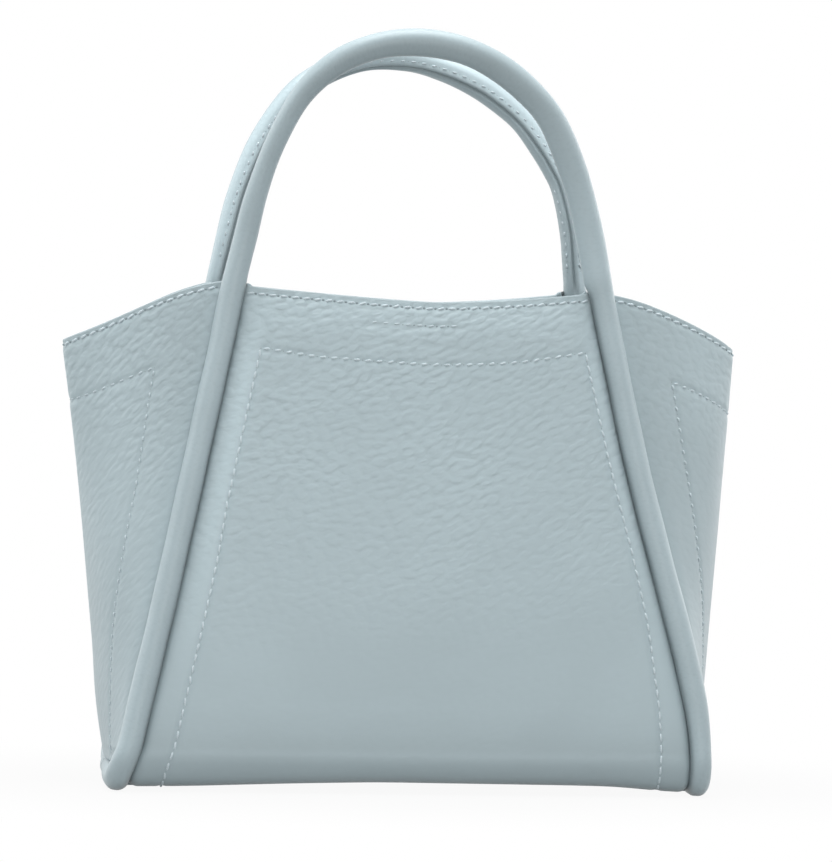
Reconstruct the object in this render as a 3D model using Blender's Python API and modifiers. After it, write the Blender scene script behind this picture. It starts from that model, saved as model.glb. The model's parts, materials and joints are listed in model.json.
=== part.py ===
"""A small leather tote bag with winged sides and two rolled handles that run on down the seams.

Units are metres. +X is the bag's right as seen from the front, +Y is its back, +Z is up.
The origin is on the floor, under the middle of the bag.
"""

import math

import bmesh
import bpy
from mathutils import Matrix, Vector

# Seam tubes, measured at their centre line
RIM_HEIGHT = 0.1755
RIM_HALF_WIDTH = 0.0646
RIM_HALF_DEPTH = 0.0255
BASE_HALF_WIDTH = 0.1012
BASE_HALF_DEPTH = 0.0460
BASE_RUN_BOW = 0.0015
BASE_TURN_RADIUS = 0.0090
TUBE_RADIUS = 0.00435
TUBE_WEAR_FLAT = 0.0003
TUBE_COVER_THICKNESS = 0.0012

# Side panels, which flare out to a soft fold at mid depth
FOLD_HALF_WIDTH_TOP = 0.1197
FOLD_FLARE_BELOW = 0.0140
FOLD_FOOT_HEIGHT = 0.0300
WING_TIP_HEIGHT = 0.1555
WING_RISE_AT_TUBE = 0.0018
WING_CROWN = 0.0012
FOLD_SHARPNESS_TOP = 1.30
FOLD_SHARPNESS_BASE = 2.0

# Front and back panels
RIM_DIP = 0.0045
PANEL_BULGE = 0.0030
PANEL_LAP_UNDER_BASE = 0.0030

# Leather, lining and board
LEATHER_THICKNESS = 0.0014
FACING_THICKNESS = 0.0012
FACING_DEPTH = 0.0200
LINING_THICKNESS = 0.0005
BOARD_THICKNESS = 0.0015
BOARD_SIDE_CLEARANCE = 0.0015
LINING_TURN_ANGLE = math.radians(42)
CLEARANCE = 0.0003

# Handles
HANDLE_RISE = 0.0849
HANDLE_LEAN = 0.0150
HANDLE_LEAN_POWER = 1.6
HANDLE_FLEX_LENGTH = 0.0140
# Half of the arch as shares of its half spread and its rise, from the rim to the crown
HANDLE_OUTLINE = ((1.0, 0.0), (0.965, 0.15), (0.933, 0.30), (0.81, 0.59), (0.54, 0.86), (0.27, 0.965))

# Closing tab and its snap
TAB_WIDTH = 0.0280
TAB_LENGTH = 0.0400
TAB_THICKNESS = 0.0016
TAB_CORNER_RADIUS = 0.0080
TAB_DROP_BELOW_RIM = 0.0060
TAB_PIVOT_BELOW_EDGE = 0.0006
SNAP_ABOVE_TAB_TIP = 0.0110
SNAP_SHANK_RADIUS = 0.0014
SNAP_CAP_RADIUS = 0.0060
SNAP_CAP_DOME = 0.0009
SNAP_CAP_EDGE = 0.0004
# The inner step of the dome, as a share of the cap's radius and of the dome's height
SNAP_CAP_STEP = 0.7
SNAP_STUD_RADIUS = 0.0021
SNAP_STUD_HEIGHT = 0.0030
# The stud's knob, as shares of its radius and of its height: flat top, shoulder, widest point and neck
STUD_TOP_SHARE = 0.7
STUD_SHOULDER_SHARE = 0.7
STUD_BELLY_SHARE = 0.5
STUD_NECK_SHARE = 0.25
SNAP_WASHER_RADIUS = 0.0042
SNAP_WASHER_THICKNESS = 0.0007
SOCKET_RADIUS = 0.0058
SOCKET_HEIGHT = 0.0032
# Where the socket's sloping side starts and ends, as shares of its radius and of its height
SOCKET_TOP_SHARE = 0.6
SOCKET_SIDE_SHARE = 0.35
SOCKET_BORE_RADIUS = 0.0025
SOCKET_FLOOR = 0.0010
SOCKET_BELOW_RIM = 0.0100
# How much longer a hole's cutter is than the sheet that it goes through
CUTTER_REACH = 4

# Mesh fineness
WALL_ROWS = 8
TURN_ROWS = 4
PANEL_COLUMNS = 12
SIDE_COLUMNS = 12
SIDE_ROWS = 8
TUBE_SIDES_RESOLUTION = 3
CORE_SIDES_RESOLUTION = 2
HANDLE_STEP = 0.0110
SEAM_STEP = 0.0180
PATH_STEPS = 6
FACING_ROWS = 2
LINING_ROWS = 6
TAB_CORNER_STEPS = 6
TURNED_SIDES = 20
HOLE_SIDES = 24
SHARP_ANGLE = math.radians(50)
WELD_DISTANCE = 1e-6
SURFACE_STEP = 0.0010

BASE_HEIGHT = TUBE_RADIUS - TUBE_WEAR_FLAT
SEAM_CLEARANCE = TUBE_RADIUS + CLEARANCE
FACING_OFFSET = LEATHER_THICKNESS / 2 + CLEARANCE + FACING_THICKNESS / 2
LINING_OFFSET = LEATHER_THICKNESS / 2 + CLEARANCE + LINING_THICKNESS / 2

# The seam in the side view runs straight down the wall, turns under on an arc and crosses the base
WALL_DROP = RIM_HEIGHT - BASE_HEIGHT
WALL_FLARE = BASE_HALF_DEPTH - RIM_HALF_DEPTH
WALL_LENGTH = math.hypot(WALL_DROP, WALL_FLARE)
WALL_TILT = math.atan2(WALL_FLARE, WALL_DROP)
TURN_ANGLE = math.pi / 2 + WALL_TILT
TURN_SETBACK = BASE_TURN_RADIUS * math.tan(TURN_ANGLE / 2)
TURN_START = WALL_LENGTH - TURN_SETBACK
TURN_END = TURN_START + BASE_TURN_RADIUS * TURN_ANGLE
TURN_CENTRE_DEPTH = BASE_HALF_DEPTH - TURN_SETBACK
TURN_CENTRE_HEIGHT = BASE_HEIGHT + BASE_TURN_RADIUS
SEAM_LENGTH = TURN_END + TURN_CENTRE_DEPTH


def clear_scene():
    for thing in list(bpy.data.objects):
        bpy.data.objects.remove(thing, do_unlink=True)


def new_collection(name, hidden=False):
    collection = bpy.data.collections.new(name)
    bpy.context.scene.collection.children.link(collection)
    collection.hide_render = hidden
    return collection


def material(name, colour, roughness, metallic=0.0):
    made = bpy.data.materials.new(name)
    made.use_nodes = True
    shader = made.node_tree.nodes["Principled BSDF"]
    shader.inputs["Base Color"].default_value = (*colour, 1.0)
    shader.inputs["Roughness"].default_value = roughness
    shader.inputs["Metallic"].default_value = metallic
    made.diffuse_color = (*colour, 1.0)
    return made


def seam_depth_height(distance):
    """How far in front of the middle and how high the front seam is, this far along it from the rim."""
    if distance <= TURN_START:
        share = distance / WALL_LENGTH
        return RIM_HALF_DEPTH + share * WALL_FLARE, RIM_HEIGHT - share * WALL_DROP
    if distance >= TURN_END:
        return TURN_CENTRE_DEPTH - (distance - TURN_END), BASE_HEIGHT
    angle = (distance - TURN_START) / BASE_TURN_RADIUS - WALL_TILT
    depth = TURN_CENTRE_DEPTH + BASE_TURN_RADIUS * math.cos(angle)
    return depth, TURN_CENTRE_HEIGHT - BASE_TURN_RADIUS * math.sin(angle)


def share_down(height):
    return (RIM_HEIGHT - height) / WALL_DROP


def seam_half_width(depth, height):
    """Half the distance between the left and right seam tubes, which bow out a little under the base."""
    half = RIM_HALF_WIDTH + share_down(height) * (BASE_HALF_WIDTH - RIM_HALF_WIDTH)
    if height < TURN_CENTRE_HEIGHT:
        half += BASE_RUN_BOW * max(0.0, 1 - (depth / TURN_CENTRE_DEPTH) ** 2)
    return half


def fold_half_width(height):
    """Half the width over the folds, which flare evenly and draw in to the base run at their foot."""
    share = (WING_TIP_HEIGHT - height) / (WING_TIP_HEIGHT - BASE_HEIGHT)
    half = FOLD_HALF_WIDTH_TOP - share * FOLD_FLARE_BELOW
    foot = BASE_HEIGHT + SEAM_CLEARANCE
    draw = max(0.0, 1 - (height - foot) / FOLD_FOOT_HEIGHT) ** 2
    at_foot = BASE_HALF_WIDTH + BASE_RUN_BOW
    return half + draw * (at_foot - (FOLD_HALF_WIDTH_TOP - FOLD_FLARE_BELOW))


def wall_half_depth(height):
    return RIM_HALF_DEPTH + share_down(height) * WALL_FLARE


def panel_point(across, distance, facing):
    """A point of the front (facing -1) or back (facing 1) panel; across runs from -1 to 1."""
    depth, height = seam_depth_height(distance)
    half = seam_half_width(depth, height) - SEAM_CLEARANCE
    bulge = PANEL_BULGE * (1 - across * across) * math.sin(math.pi * min(1.0, distance / TURN_START))
    return Vector((across * half, facing * (depth + bulge), height))


def panel_top(across):
    return RIM_DIP * (1 - across * across)


def panel_rows(top, bottom, straight_rows):
    """Distances down the wall, evenly along the straight and then round the turn."""
    last_straight = min(bottom, TURN_START)
    rows = [top + (last_straight - top) * row / straight_rows for row in range(straight_rows + 1)]
    if bottom > TURN_START:
        last_turn = min(bottom, TURN_END)
        rows += [TURN_START + (last_turn - TURN_START) * row / TURN_ROWS for row in range(1, TURN_ROWS + 1)]
    if bottom > TURN_END:
        rows.append(bottom)
    return rows


def panel_grid(facing, top_of, bottom, straight_rows=WALL_ROWS, inset=0.0):
    columns = []
    for column in range(PANEL_COLUMNS + 1):
        across = -1 + 2 * column / PANEL_COLUMNS
        distances = panel_rows(top_of(across), bottom, straight_rows)
        points = []
        for distance in distances:
            point = panel_point(across, distance, facing)
            point.x -= across * inset
            points.append(point)
        columns.append(points)
    return columns


def side_half_depth(height):
    """Half the side panel's depth at its stitched edge, rounded where the seam turns under the base."""
    if height >= TURN_CENTRE_HEIGHT:
        depth = wall_half_depth(height)
    else:
        inner = BASE_TURN_RADIUS - SEAM_CLEARANCE
        drop = TURN_CENTRE_HEIGHT - height
        return TURN_CENTRE_DEPTH + math.sqrt(max(0.0, inner * inner - drop * drop))
    return depth - SEAM_CLEARANCE * math.cos(side_angle(height))


def side_power(height):
    share = min(1.0, max(0.0, share_down(height)))
    return FOLD_SHARPNESS_TOP + share * (FOLD_SHARPNESS_BASE - FOLD_SHARPNESS_TOP)


def side_angle(height):
    """How far the side panel turns away from straight back where it leaves the seam tube."""
    spread = fold_half_width(height) - seam_half_width(BASE_HALF_DEPTH, height)
    return math.atan2(spread * side_power(height), wall_half_depth(height))


def side_point(along, height, side, inset=0.0):
    """A point of the left (side -1) or right (side 1) panel; along runs from -1 at the front to 1."""
    angle = side_angle(height)
    edge = seam_half_width(BASE_HALF_DEPTH, height) + SEAM_CLEARANCE * math.sin(angle)
    if height < TURN_CENTRE_HEIGHT:
        edge = max(BASE_HALF_WIDTH, seam_half_width(side_half_depth(height) * along, height))
    fold = fold_half_width(height)
    out = edge + (fold - edge) * (1 - abs(along) ** side_power(height))
    return Vector((side * out, along * (side_half_depth(height) - inset), height))


def side_top(along):
    near = abs(along) ** FOLD_SHARPNESS_TOP
    rise = RIM_HEIGHT + WING_RISE_AT_TUBE - WING_TIP_HEIGHT
    return WING_TIP_HEIGHT + rise * near + WING_CROWN * 4 * near * (1 - near)


def side_grid(side, bottom, top_of, rows=SIDE_ROWS, inset=0.0):
    """Columns of the side panel from front to back; rows stay level round the bottom corners."""
    columns = []
    inner = TURN_CENTRE_HEIGHT - bottom
    for column in range(SIDE_COLUMNS + 1):
        along = -1 + 2 * column / SIDE_COLUMNS
        heights = []
        if inner > 0:
            for row in range(TURN_ROWS):
                heights.append(TURN_CENTRE_HEIGHT - inner * math.cos(math.pi / 2 * row / TURN_ROWS))
        low = max(bottom, TURN_CENTRE_HEIGHT)
        heights += [low + (top_of(along) - low) * row / rows for row in range(rows + 1)]
        columns.append([side_point(along, height, side, inset) for height in heights])
    return columns


def offset_grid(columns, distance, inward):
    """The same grid moved inwards, by the distance from the strips on both sides of each column."""
    moved = []
    last_column = len(columns) - 1
    for i, points in enumerate(columns):
        last_row = len(points) - 1
        new_points = []
        for j, point in enumerate(points):
            down = points[min(j + 1, last_row)] - points[max(j - 1, 0)]
            normals = []
            for a, b in ((max(i - 1, 0), i), (i, min(i + 1, last_column))):
                if a == b:
                    continue
                normal = (columns[b][j] - columns[a][j]).cross(down).normalized()
                if normal.dot(inward) < 0:
                    normal.negate()
                normals.append(normal)
            total = normals[0] + normals[-1]
            mitre = total / (1 + normals[0].dot(normals[-1]))
            new_points.append(point + mitre * distance)
        moved.append(new_points)
    return moved


def solid_sheet(name, columns, thickness, look, collection):
    """A closed sheet of even thickness whose middle passes through the grid of points."""
    mesh = bpy.data.meshes.new(name)
    sheet = bmesh.new()
    vertices = [[sheet.verts.new(point) for point in points] for points in columns]
    for left, right in zip(vertices, vertices[1:]):
        for row in range(len(left) - 1):
            sheet.faces.new((left[row], right[row], right[row + 1], left[row + 1]))
    bmesh.ops.remove_doubles(sheet, verts=sheet.verts, dist=WELD_DISTANCE)
    sheet.to_mesh(mesh)
    sheet.free()
    mesh.shade_smooth()
    made = bpy.data.objects.new(name, mesh)
    made.data.materials.append(look)
    collection.objects.link(made)
    solidify = made.modifiers.new("thickness", "SOLIDIFY")
    solidify.thickness = thickness
    solidify.offset = 0.0
    solidify.use_even_offset = True
    return made


def smooth_path(points, steps):
    """A Catmull-Rom curve through the points."""
    path = []
    padded = [2 * points[0] - points[1], *points, 2 * points[-1] - points[-2]]
    for a, b, c, d in zip(padded, padded[1:], padded[2:], padded[3:]):
        for step in range(steps):
            t = step / steps
            square = (2 * a - 5 * b + 4 * c - d) * t**2
            cube = (3 * b - a - 3 * c + d) * t**3
            path.append(0.5 * (2 * b + (c - a) * t + square + cube))
    path.append(points[-1])
    return path


def cut_path(path, start, end, step):
    """The stretch of the path between two distances along it, in even steps of about the given length.

    An end below zero is measured back from the end of the path.
    """
    lengths = [0.0]
    for a, b in zip(path, path[1:]):
        lengths.append(lengths[-1] + (b - a).length)
    if end < 0:
        end += lengths[-1]
    count = max(1, round((end - start) / step))
    cut = []
    segment = 0
    for index in range(count + 1):
        wanted = start + (end - start) * index / count
        while segment < len(path) - 2 and lengths[segment + 1] < wanted:
            segment += 1
        share = (wanted - lengths[segment]) / (lengths[segment + 1] - lengths[segment])
        cut.append(path[segment].lerp(path[segment + 1], share))
    return cut


def tube(name, path, radius, look, collection, resolution, wall=None):
    """A round tube along the path: solid with flat ends, or a hollow cover when a wall is given."""
    curve = bpy.data.curves.new(name, "CURVE")
    curve.dimensions = "3D"
    curve.bevel_depth = radius
    curve.bevel_resolution = resolution
    curve.use_fill_caps = wall is None
    curve.twist_mode = "MINIMUM"
    spline = curve.splines.new("POLY")
    spline.points.add(len(path) - 1)
    for point, place in zip(spline.points, path):
        point.co = (*place, 1.0)
    source = bpy.data.objects.new(name + "_path", curve)
    collection.objects.link(source)
    bpy.context.view_layer.update()
    evaluated = source.evaluated_get(bpy.context.evaluated_depsgraph_get())
    mesh = bpy.data.meshes.new_from_object(evaluated)
    bpy.data.objects.remove(source, do_unlink=True)
    welded = bmesh.new()
    welded.from_mesh(mesh)
    bmesh.ops.remove_doubles(welded, verts=welded.verts, dist=WELD_DISTANCE)
    bmesh.ops.recalc_face_normals(welded, faces=welded.faces)
    welded.to_mesh(mesh)
    welded.free()
    mesh.name = name
    mesh.shade_smooth()
    mesh.set_sharp_from_angle(angle=SHARP_ANGLE)
    made = bpy.data.objects.new(name, mesh)
    made.data.materials.append(look)
    collection.objects.link(made)
    if wall is not None:
        solidify = made.modifiers.new("wall", "SOLIDIFY")
        solidify.thickness = wall
        solidify.offset = -1.0
        solidify.use_even_offset = True
    return made


def box_cutter(name, low, high, collection):
    cutter_mesh = bpy.data.meshes.new(name)
    shape = bmesh.new()
    bmesh.ops.create_cube(shape, size=1.0)
    size = high - low
    bmesh.ops.scale(shape, vec=size, verts=shape.verts)
    bmesh.ops.translate(shape, vec=(low + high) / 2, verts=shape.verts)
    shape.to_mesh(cutter_mesh)
    shape.free()
    cutter = bpy.data.objects.new(name, cutter_mesh)
    return hide_cutter(cutter, collection)


def round_cutter(name, centre, radius, length, collection):
    """A cylinder that lies along Y."""
    cutter_mesh = bpy.data.meshes.new(name)
    shape = bmesh.new()
    bmesh.ops.create_cone(
        shape, cap_ends=True, segments=HOLE_SIDES, radius1=radius, radius2=radius, depth=length
    )
    shape.to_mesh(cutter_mesh)
    shape.free()
    cutter = bpy.data.objects.new(name, cutter_mesh)
    cutter.location = centre
    cutter.rotation_euler = (math.pi / 2, 0, 0)
    return hide_cutter(cutter, collection)


def hide_cutter(cutter, collection):
    cutter.hide_render = True
    cutter.display_type = "WIRE"
    collection.objects.link(cutter)
    return cutter


def cut(thing, cutter):
    boolean = thing.modifiers.new("cut by " + cutter.name, "BOOLEAN")
    boolean.operation = "DIFFERENCE"
    boolean.solver = "EXACT"
    boolean.object = cutter


def turned(name, profile, look, collection, sides=TURNED_SIDES):
    """A turned piece: the profile, as (radius, height) down its outer side, is spun about Z."""
    mesh = bpy.data.meshes.new(name)
    outline = bmesh.new()
    vertices = [outline.verts.new((radius, 0, height)) for radius, height in profile]
    for a, b in zip(vertices, vertices[1:]):
        outline.edges.new((a, b))
    outline.to_mesh(mesh)
    outline.free()
    made = bpy.data.objects.new(name, mesh)
    made.data.materials.append(look)
    collection.objects.link(made)
    screw = made.modifiers.new("turn", "SCREW")
    screw.steps = sides
    screw.render_steps = sides
    screw.use_merge_vertices = True
    screw.merge_threshold = 1e-5
    screw.use_smooth_shade = True
    return made


def even_steps(start, end, count):
    return [start + (end - start) * step / count for step in range(count + 1)]


def seam_path(start, side):
    """Points of a seam tube's centre, from this far below the front rim to as far below the back rim."""
    straight = even_steps(start, TURN_START, round(TURN_START / SEAM_STEP))
    turn = even_steps(TURN_START, TURN_END, TURN_ROWS)
    base = even_steps(TURN_END, SEAM_LENGTH, round(TURN_CENTRE_DEPTH / SEAM_STEP))
    front = []
    for distance in straight + turn[1:] + base[1:]:
        depth, height = seam_depth_height(distance)
        front.append(Vector((side * seam_half_width(depth, height), -depth, height)))
    back = [Vector((point.x, -point.y, point.z)) for point in reversed(front[:-1])]
    return front + back


def handle_path(facing):
    """The whole centre line of one handle, from its left leg at the rim to its right leg."""
    half = []
    for spread, rise in HANDLE_OUTLINE:
        depth = RIM_HALF_DEPTH + HANDLE_LEAN * rise**HANDLE_LEAN_POWER
        half.append(Vector((-spread * RIM_HALF_WIDTH, facing * depth, RIM_HEIGHT + rise * HANDLE_RISE)))
    crown = Vector((0, facing * (RIM_HALF_DEPTH + HANDLE_LEAN), RIM_HEIGHT + HANDLE_RISE))
    other = [Vector((-point.x, point.y, point.z)) for point in reversed(half)]
    return smooth_path(half + [crown] + other, PATH_STEPS)


def build_leather_body(collection, leather):
    lap = TURN_END + PANEL_LAP_UNDER_BASE
    for name, facing in (("front_panel", -1), ("back_panel", 1)):
        solid_sheet(name, panel_grid(facing, panel_top, lap), LEATHER_THICKNESS, leather, collection)
    for name, side in (("left_gusset", -1), ("right_gusset", 1)):
        bottom = BASE_HEIGHT + SEAM_CLEARANCE
        solid_sheet(name, side_grid(side, bottom, side_top), LEATHER_THICKNESS, leather, collection)
    reach = TURN_CENTRE_DEPTH - PANEL_LAP_UNDER_BASE - CLEARANCE
    flat_sheet("base_panel", reach, 0.0, BASE_HEIGHT, LEATHER_THICKNESS, leather, collection)


def flat_sheet(name, half_depth, side_clearance, height, thickness, look, collection):
    """A level sheet that reaches to the seam tubes' run on both sides."""
    columns = []
    for column in range(PANEL_COLUMNS + 1):
        across = -1 + 2 * column / PANEL_COLUMNS
        points = []
        for row in range(TURN_ROWS + 1):
            depth = half_depth * (-1 + 2 * row / TURN_ROWS)
            within = min(abs(depth), TURN_CENTRE_DEPTH)
            half = seam_half_width(within, BASE_HEIGHT) - SEAM_CLEARANCE - side_clearance
            points.append(Vector((across * half, depth, height)))
        columns.append(points)
    return solid_sheet(name, columns, thickness, look, collection)


def build_inside(collection, facing_look, lining_look, board_look):
    lining_start = FACING_DEPTH + CLEARANCE
    lining_end = TURN_START + BASE_TURN_RADIUS * (LINING_TURN_ANGLE + WALL_TILT)
    inner_edge = LEATHER_THICKNESS

    for word, facing in (("front", -1), ("back", 1)):
        inward = Vector((0, -facing, 0.2))
        grid = panel_grid(facing, panel_top, FACING_DEPTH, FACING_ROWS, inner_edge)
        solid_sheet(word + "_facing", offset_grid(grid, FACING_OFFSET, inward), FACING_THICKNESS,
                    facing_look, collection)
        grid = panel_grid(facing, lambda across: lining_start, lining_end, LINING_ROWS, inner_edge)
        solid_sheet(word + "_lining", offset_grid(grid, LINING_OFFSET, inward), LINING_THICKNESS,
                    lining_look, collection)

    for word, side in (("left", -1), ("right", 1)):
        inward = Vector((-side, 0, 0))
        grid = side_band(side, 0.0, FACING_DEPTH, inner_edge)
        solid_sheet(word + "_facing", offset_grid(grid, FACING_OFFSET, inward), FACING_THICKNESS,
                    facing_look, collection)
        grid = side_grid(side, TURN_CENTRE_HEIGHT, lambda along: side_top(along) - lining_start,
                         LINING_ROWS, inner_edge)
        solid_sheet(word + "_lining", offset_grid(grid, LINING_OFFSET, inward), LINING_THICKNESS,
                    lining_look, collection)

    board_height = BASE_HEIGHT + LEATHER_THICKNESS / 2 + CLEARANCE + BOARD_THICKNESS / 2
    board_reach = turn_reach(board_height - BOARD_THICKNESS / 2, LEATHER_THICKNESS / 2)
    flat_sheet("base_board", board_reach, BOARD_SIDE_CLEARANCE, board_height, BOARD_THICKNESS, board_look,
               collection)
    lining_height = board_height + BOARD_THICKNESS / 2 + CLEARANCE + LINING_THICKNESS / 2
    lining_reach = turn_reach(lining_height - LINING_THICKNESS / 2, LINING_OFFSET + LINING_THICKNESS / 2)
    flat_sheet("base_lining", lining_reach, BOARD_SIDE_CLEARANCE, lining_height, LINING_THICKNESS,
               lining_look, collection)


def turn_reach(height, wall_depth):
    """How far front and back a flat piece may reach at this height, inside the wall's turn."""
    inner = BASE_TURN_RADIUS - wall_depth - CLEARANCE
    drop = TURN_CENTRE_HEIGHT - height
    return TURN_CENTRE_DEPTH - CLEARANCE + math.sqrt(max(0.0, inner * inner - drop * drop))


def side_band(side, from_top, to_top, inset):
    """A strip of the side panel, between two distances below its top edge."""
    columns = []
    for column in range(SIDE_COLUMNS + 1):
        along = -1 + 2 * column / SIDE_COLUMNS
        heights = even_steps(side_top(along) - from_top, side_top(along) - to_top, FACING_ROWS)
        columns.append([side_point(along, height, side, inset) for height in heights])
    return columns


def build_seam_tubes(collection, cutters, cover_look, core_look):
    start = HANDLE_FLEX_LENGTH / 2 + CLEARANCE
    floor = box_cutter(
        "floor_cutter",
        Vector((-2 * BASE_HALF_WIDTH, -2 * BASE_HALF_DEPTH, -2 * TUBE_RADIUS)),
        Vector((2 * BASE_HALF_WIDTH, 2 * BASE_HALF_DEPTH, 0)),
        cutters,
    )
    core_radius = TUBE_RADIUS - TUBE_COVER_THICKNESS - CLEARANCE
    for word, side in (("left", -1), ("right", 1)):
        path = seam_path(start, side)
        cover = tube(word + "_seam_tube", path, TUBE_RADIUS, cover_look, collection,
                     TUBE_SIDES_RESOLUTION, TUBE_COVER_THICKNESS)
        cut(cover, floor)
        tube(word + "_seam_core", path, core_radius, core_look, collection, CORE_SIDES_RESOLUTION)


def build_handles(collection, cover_look, core_look):
    core_radius = TUBE_RADIUS - TUBE_COVER_THICKNESS - CLEARANCE
    half_flex = HANDLE_FLEX_LENGTH / 2
    for word, facing in (("front", -1), ("back", 1)):
        arch = handle_path(facing)
        path = cut_path(arch, half_flex, -half_flex, HANDLE_STEP)
        pivot = bpy.data.objects.new(word + "_handle_pivot", None)
        pivot.location = (0, facing * RIM_HALF_DEPTH, RIM_HEIGHT)
        collection.objects.link(pivot)
        cover = tube(word + "_handle", path, TUBE_RADIUS, cover_look, collection, TUBE_SIDES_RESOLUTION,
                     TUBE_COVER_THICKNESS)
        core = tube(word + "_handle_core", path, core_radius, core_look, collection, CORE_SIDES_RESOLUTION)
        for piece in (cover, core):
            hang_from(piece, pivot)
        for side_word, side in (("left", -1), ("right", 1)):
            distances = (-half_flex, 0, half_flex - CLEARANCE)
            leg = [arch_point(facing, side, distance) for distance in distances]
            tube(f"{word}_handle_{side_word}_flex", leg, TUBE_RADIUS, cover_look, collection,
                 TUBE_SIDES_RESOLUTION)


def arch_point(facing, side, distance):
    """A point of the tube's centre near the rim, on the seam below it or on the handle above it."""
    if distance <= 0:
        depth, height = seam_depth_height(-distance)
        return Vector((side * seam_half_width(depth, height), facing * depth, height))
    place = cut_path(handle_path(facing), 0.0, distance, distance)[-1]
    return Vector((-side * place.x, place.y, place.z))


def hang_from(piece, pivot):
    """Puts the piece under the pivot without moving it."""
    piece.data.transform(Matrix.Translation(-pivot.location))
    piece.parent = pivot


def facing_surface(facing, below_rim):
    """The point at the middle of the facing's inner face, this far below the rim, and the way it faces."""
    distance = panel_top(0) + below_rim
    columns = [[panel_point(across, distance + step, facing) for step in (-SURFACE_STEP, 0, SURFACE_STEP)]
               for across in (-SURFACE_STEP / RIM_HALF_WIDTH, 0, SURFACE_STEP / RIM_HALF_WIDTH)]
    moved = offset_grid(columns, FACING_OFFSET + FACING_THICKNESS / 2, Vector((0, -facing, 0.2)))
    return moved[1][1], (moved[1][1] - columns[1][1]).normalized()


def tab_blank(middle, top, look, collection):
    """The tab without its hole: a flat strip with a rounded lower end that hangs down from its top edge."""
    outline = bpy.data.curves.new("closing_tab", "CURVE")
    outline.dimensions = "2D"
    outline.fill_mode = "BOTH"
    outline.extrude = TAB_THICKNESS / 2
    half = TAB_WIDTH / 2
    corner = TAB_CORNER_RADIUS
    corners = [(-half, 0), (half, 0)]
    for centre_x, first in ((half - corner, 0), (corner - half, -90)):
        for step in range(TAB_CORNER_STEPS + 1):
            angle = math.radians(first - 90 * step / TAB_CORNER_STEPS)
            height = corner - TAB_LENGTH + corner * math.sin(angle)
            corners.append((centre_x + corner * math.cos(angle), height))
    spline = outline.splines.new("POLY")
    spline.points.add(len(corners) - 1)
    spline.use_cyclic_u = True
    for point, (x, z) in zip(spline.points, corners):
        point.co = (x, z, 0, 1)
    flat = bpy.data.objects.new("closing_tab_outline", outline)
    collection.objects.link(flat)
    bpy.context.view_layer.update()
    mesh = bpy.data.meshes.new_from_object(flat.evaluated_get(bpy.context.evaluated_depsgraph_get()))
    bpy.data.objects.remove(flat, do_unlink=True)
    welded = bmesh.new()
    welded.from_mesh(mesh)
    bmesh.ops.remove_doubles(welded, verts=welded.verts, dist=WELD_DISTANCE)
    upright = Matrix.Rotation(math.pi / 2, 3, "X")
    bmesh.ops.rotate(welded, cent=(0, 0, 0), matrix=upright, verts=welded.verts)
    bmesh.ops.translate(welded, vec=(0, middle, top), verts=welded.verts)
    bmesh.ops.recalc_face_normals(welded, faces=welded.faces)
    welded.to_mesh(mesh)
    welded.free()
    mesh.name = "closing_tab"
    tab = bpy.data.objects.new("closing_tab", mesh)
    tab.data.materials.append(look)
    collection.objects.link(tab)
    return tab


def stud_and_washer(hole, look, collection):
    """The stud's cap lies under the tab and its knob above; both pieces stand along their own Z."""
    over = TAB_THICKNESS + 2 * CLEARANCE
    washer_top = over + SNAP_WASHER_THICKNESS
    neck = washer_top + CLEARANCE
    stud_profile = [
        (0.0, neck + SNAP_STUD_HEIGHT),
        (SNAP_STUD_RADIUS * STUD_TOP_SHARE, neck + SNAP_STUD_HEIGHT),
        (SNAP_STUD_RADIUS, neck + SNAP_STUD_HEIGHT * STUD_SHOULDER_SHARE),
        (SNAP_STUD_RADIUS, neck + SNAP_STUD_HEIGHT * STUD_BELLY_SHARE),
        (SNAP_SHANK_RADIUS, neck + SNAP_STUD_HEIGHT * STUD_NECK_SHARE),
        (SNAP_SHANK_RADIUS, 0.0),
        (SNAP_CAP_RADIUS, 0.0),
        (SNAP_CAP_RADIUS, -SNAP_CAP_EDGE),
        (SNAP_CAP_RADIUS * SNAP_CAP_STEP, -SNAP_CAP_EDGE - SNAP_CAP_DOME * SNAP_CAP_STEP),
        (0.0, -SNAP_CAP_EDGE - SNAP_CAP_DOME),
    ]
    stud = turned("snap_stud", stud_profile, look, collection)
    washer_profile = [
        (hole, washer_top),
        (SNAP_WASHER_RADIUS, washer_top),
        (SNAP_WASHER_RADIUS, over),
        (hole, over),
        (hole, washer_top),
    ]
    return stud, turned("snap_stud_washer", washer_profile, look, collection)


def build_tab(collection, cutters, tab_look, metal_look):
    seat, _ = facing_surface(-1, TAB_DROP_BELOW_RIM)
    middle = seat.y + CLEARANCE + TAB_THICKNESS / 2
    pivot = bpy.data.objects.new("closing_tab_pivot", None)
    pivot.location = (0, middle, seat.z - TAB_PIVOT_BELOW_EDGE)
    collection.objects.link(pivot)
    tab = tab_blank(middle, seat.z, tab_look, collection)
    snap_height = seat.z - TAB_LENGTH + SNAP_ABOVE_TAB_TIP
    hole = SNAP_SHANK_RADIUS + CLEARANCE
    hole_place = (0, middle, snap_height)
    cut(tab, round_cutter("tab_hole_cutter", hole_place, hole, CUTTER_REACH * TAB_THICKNESS, cutters))
    stud, washer = stud_and_washer(hole, metal_look, collection)
    for piece in (stud, washer):
        piece.rotation_euler = (-math.pi / 2, 0, 0)
        piece.location = (0, middle - TAB_THICKNESS / 2 - CLEARANCE, snap_height)
    for piece in (tab, stud, washer):
        keep_place_under(piece, pivot)


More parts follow.
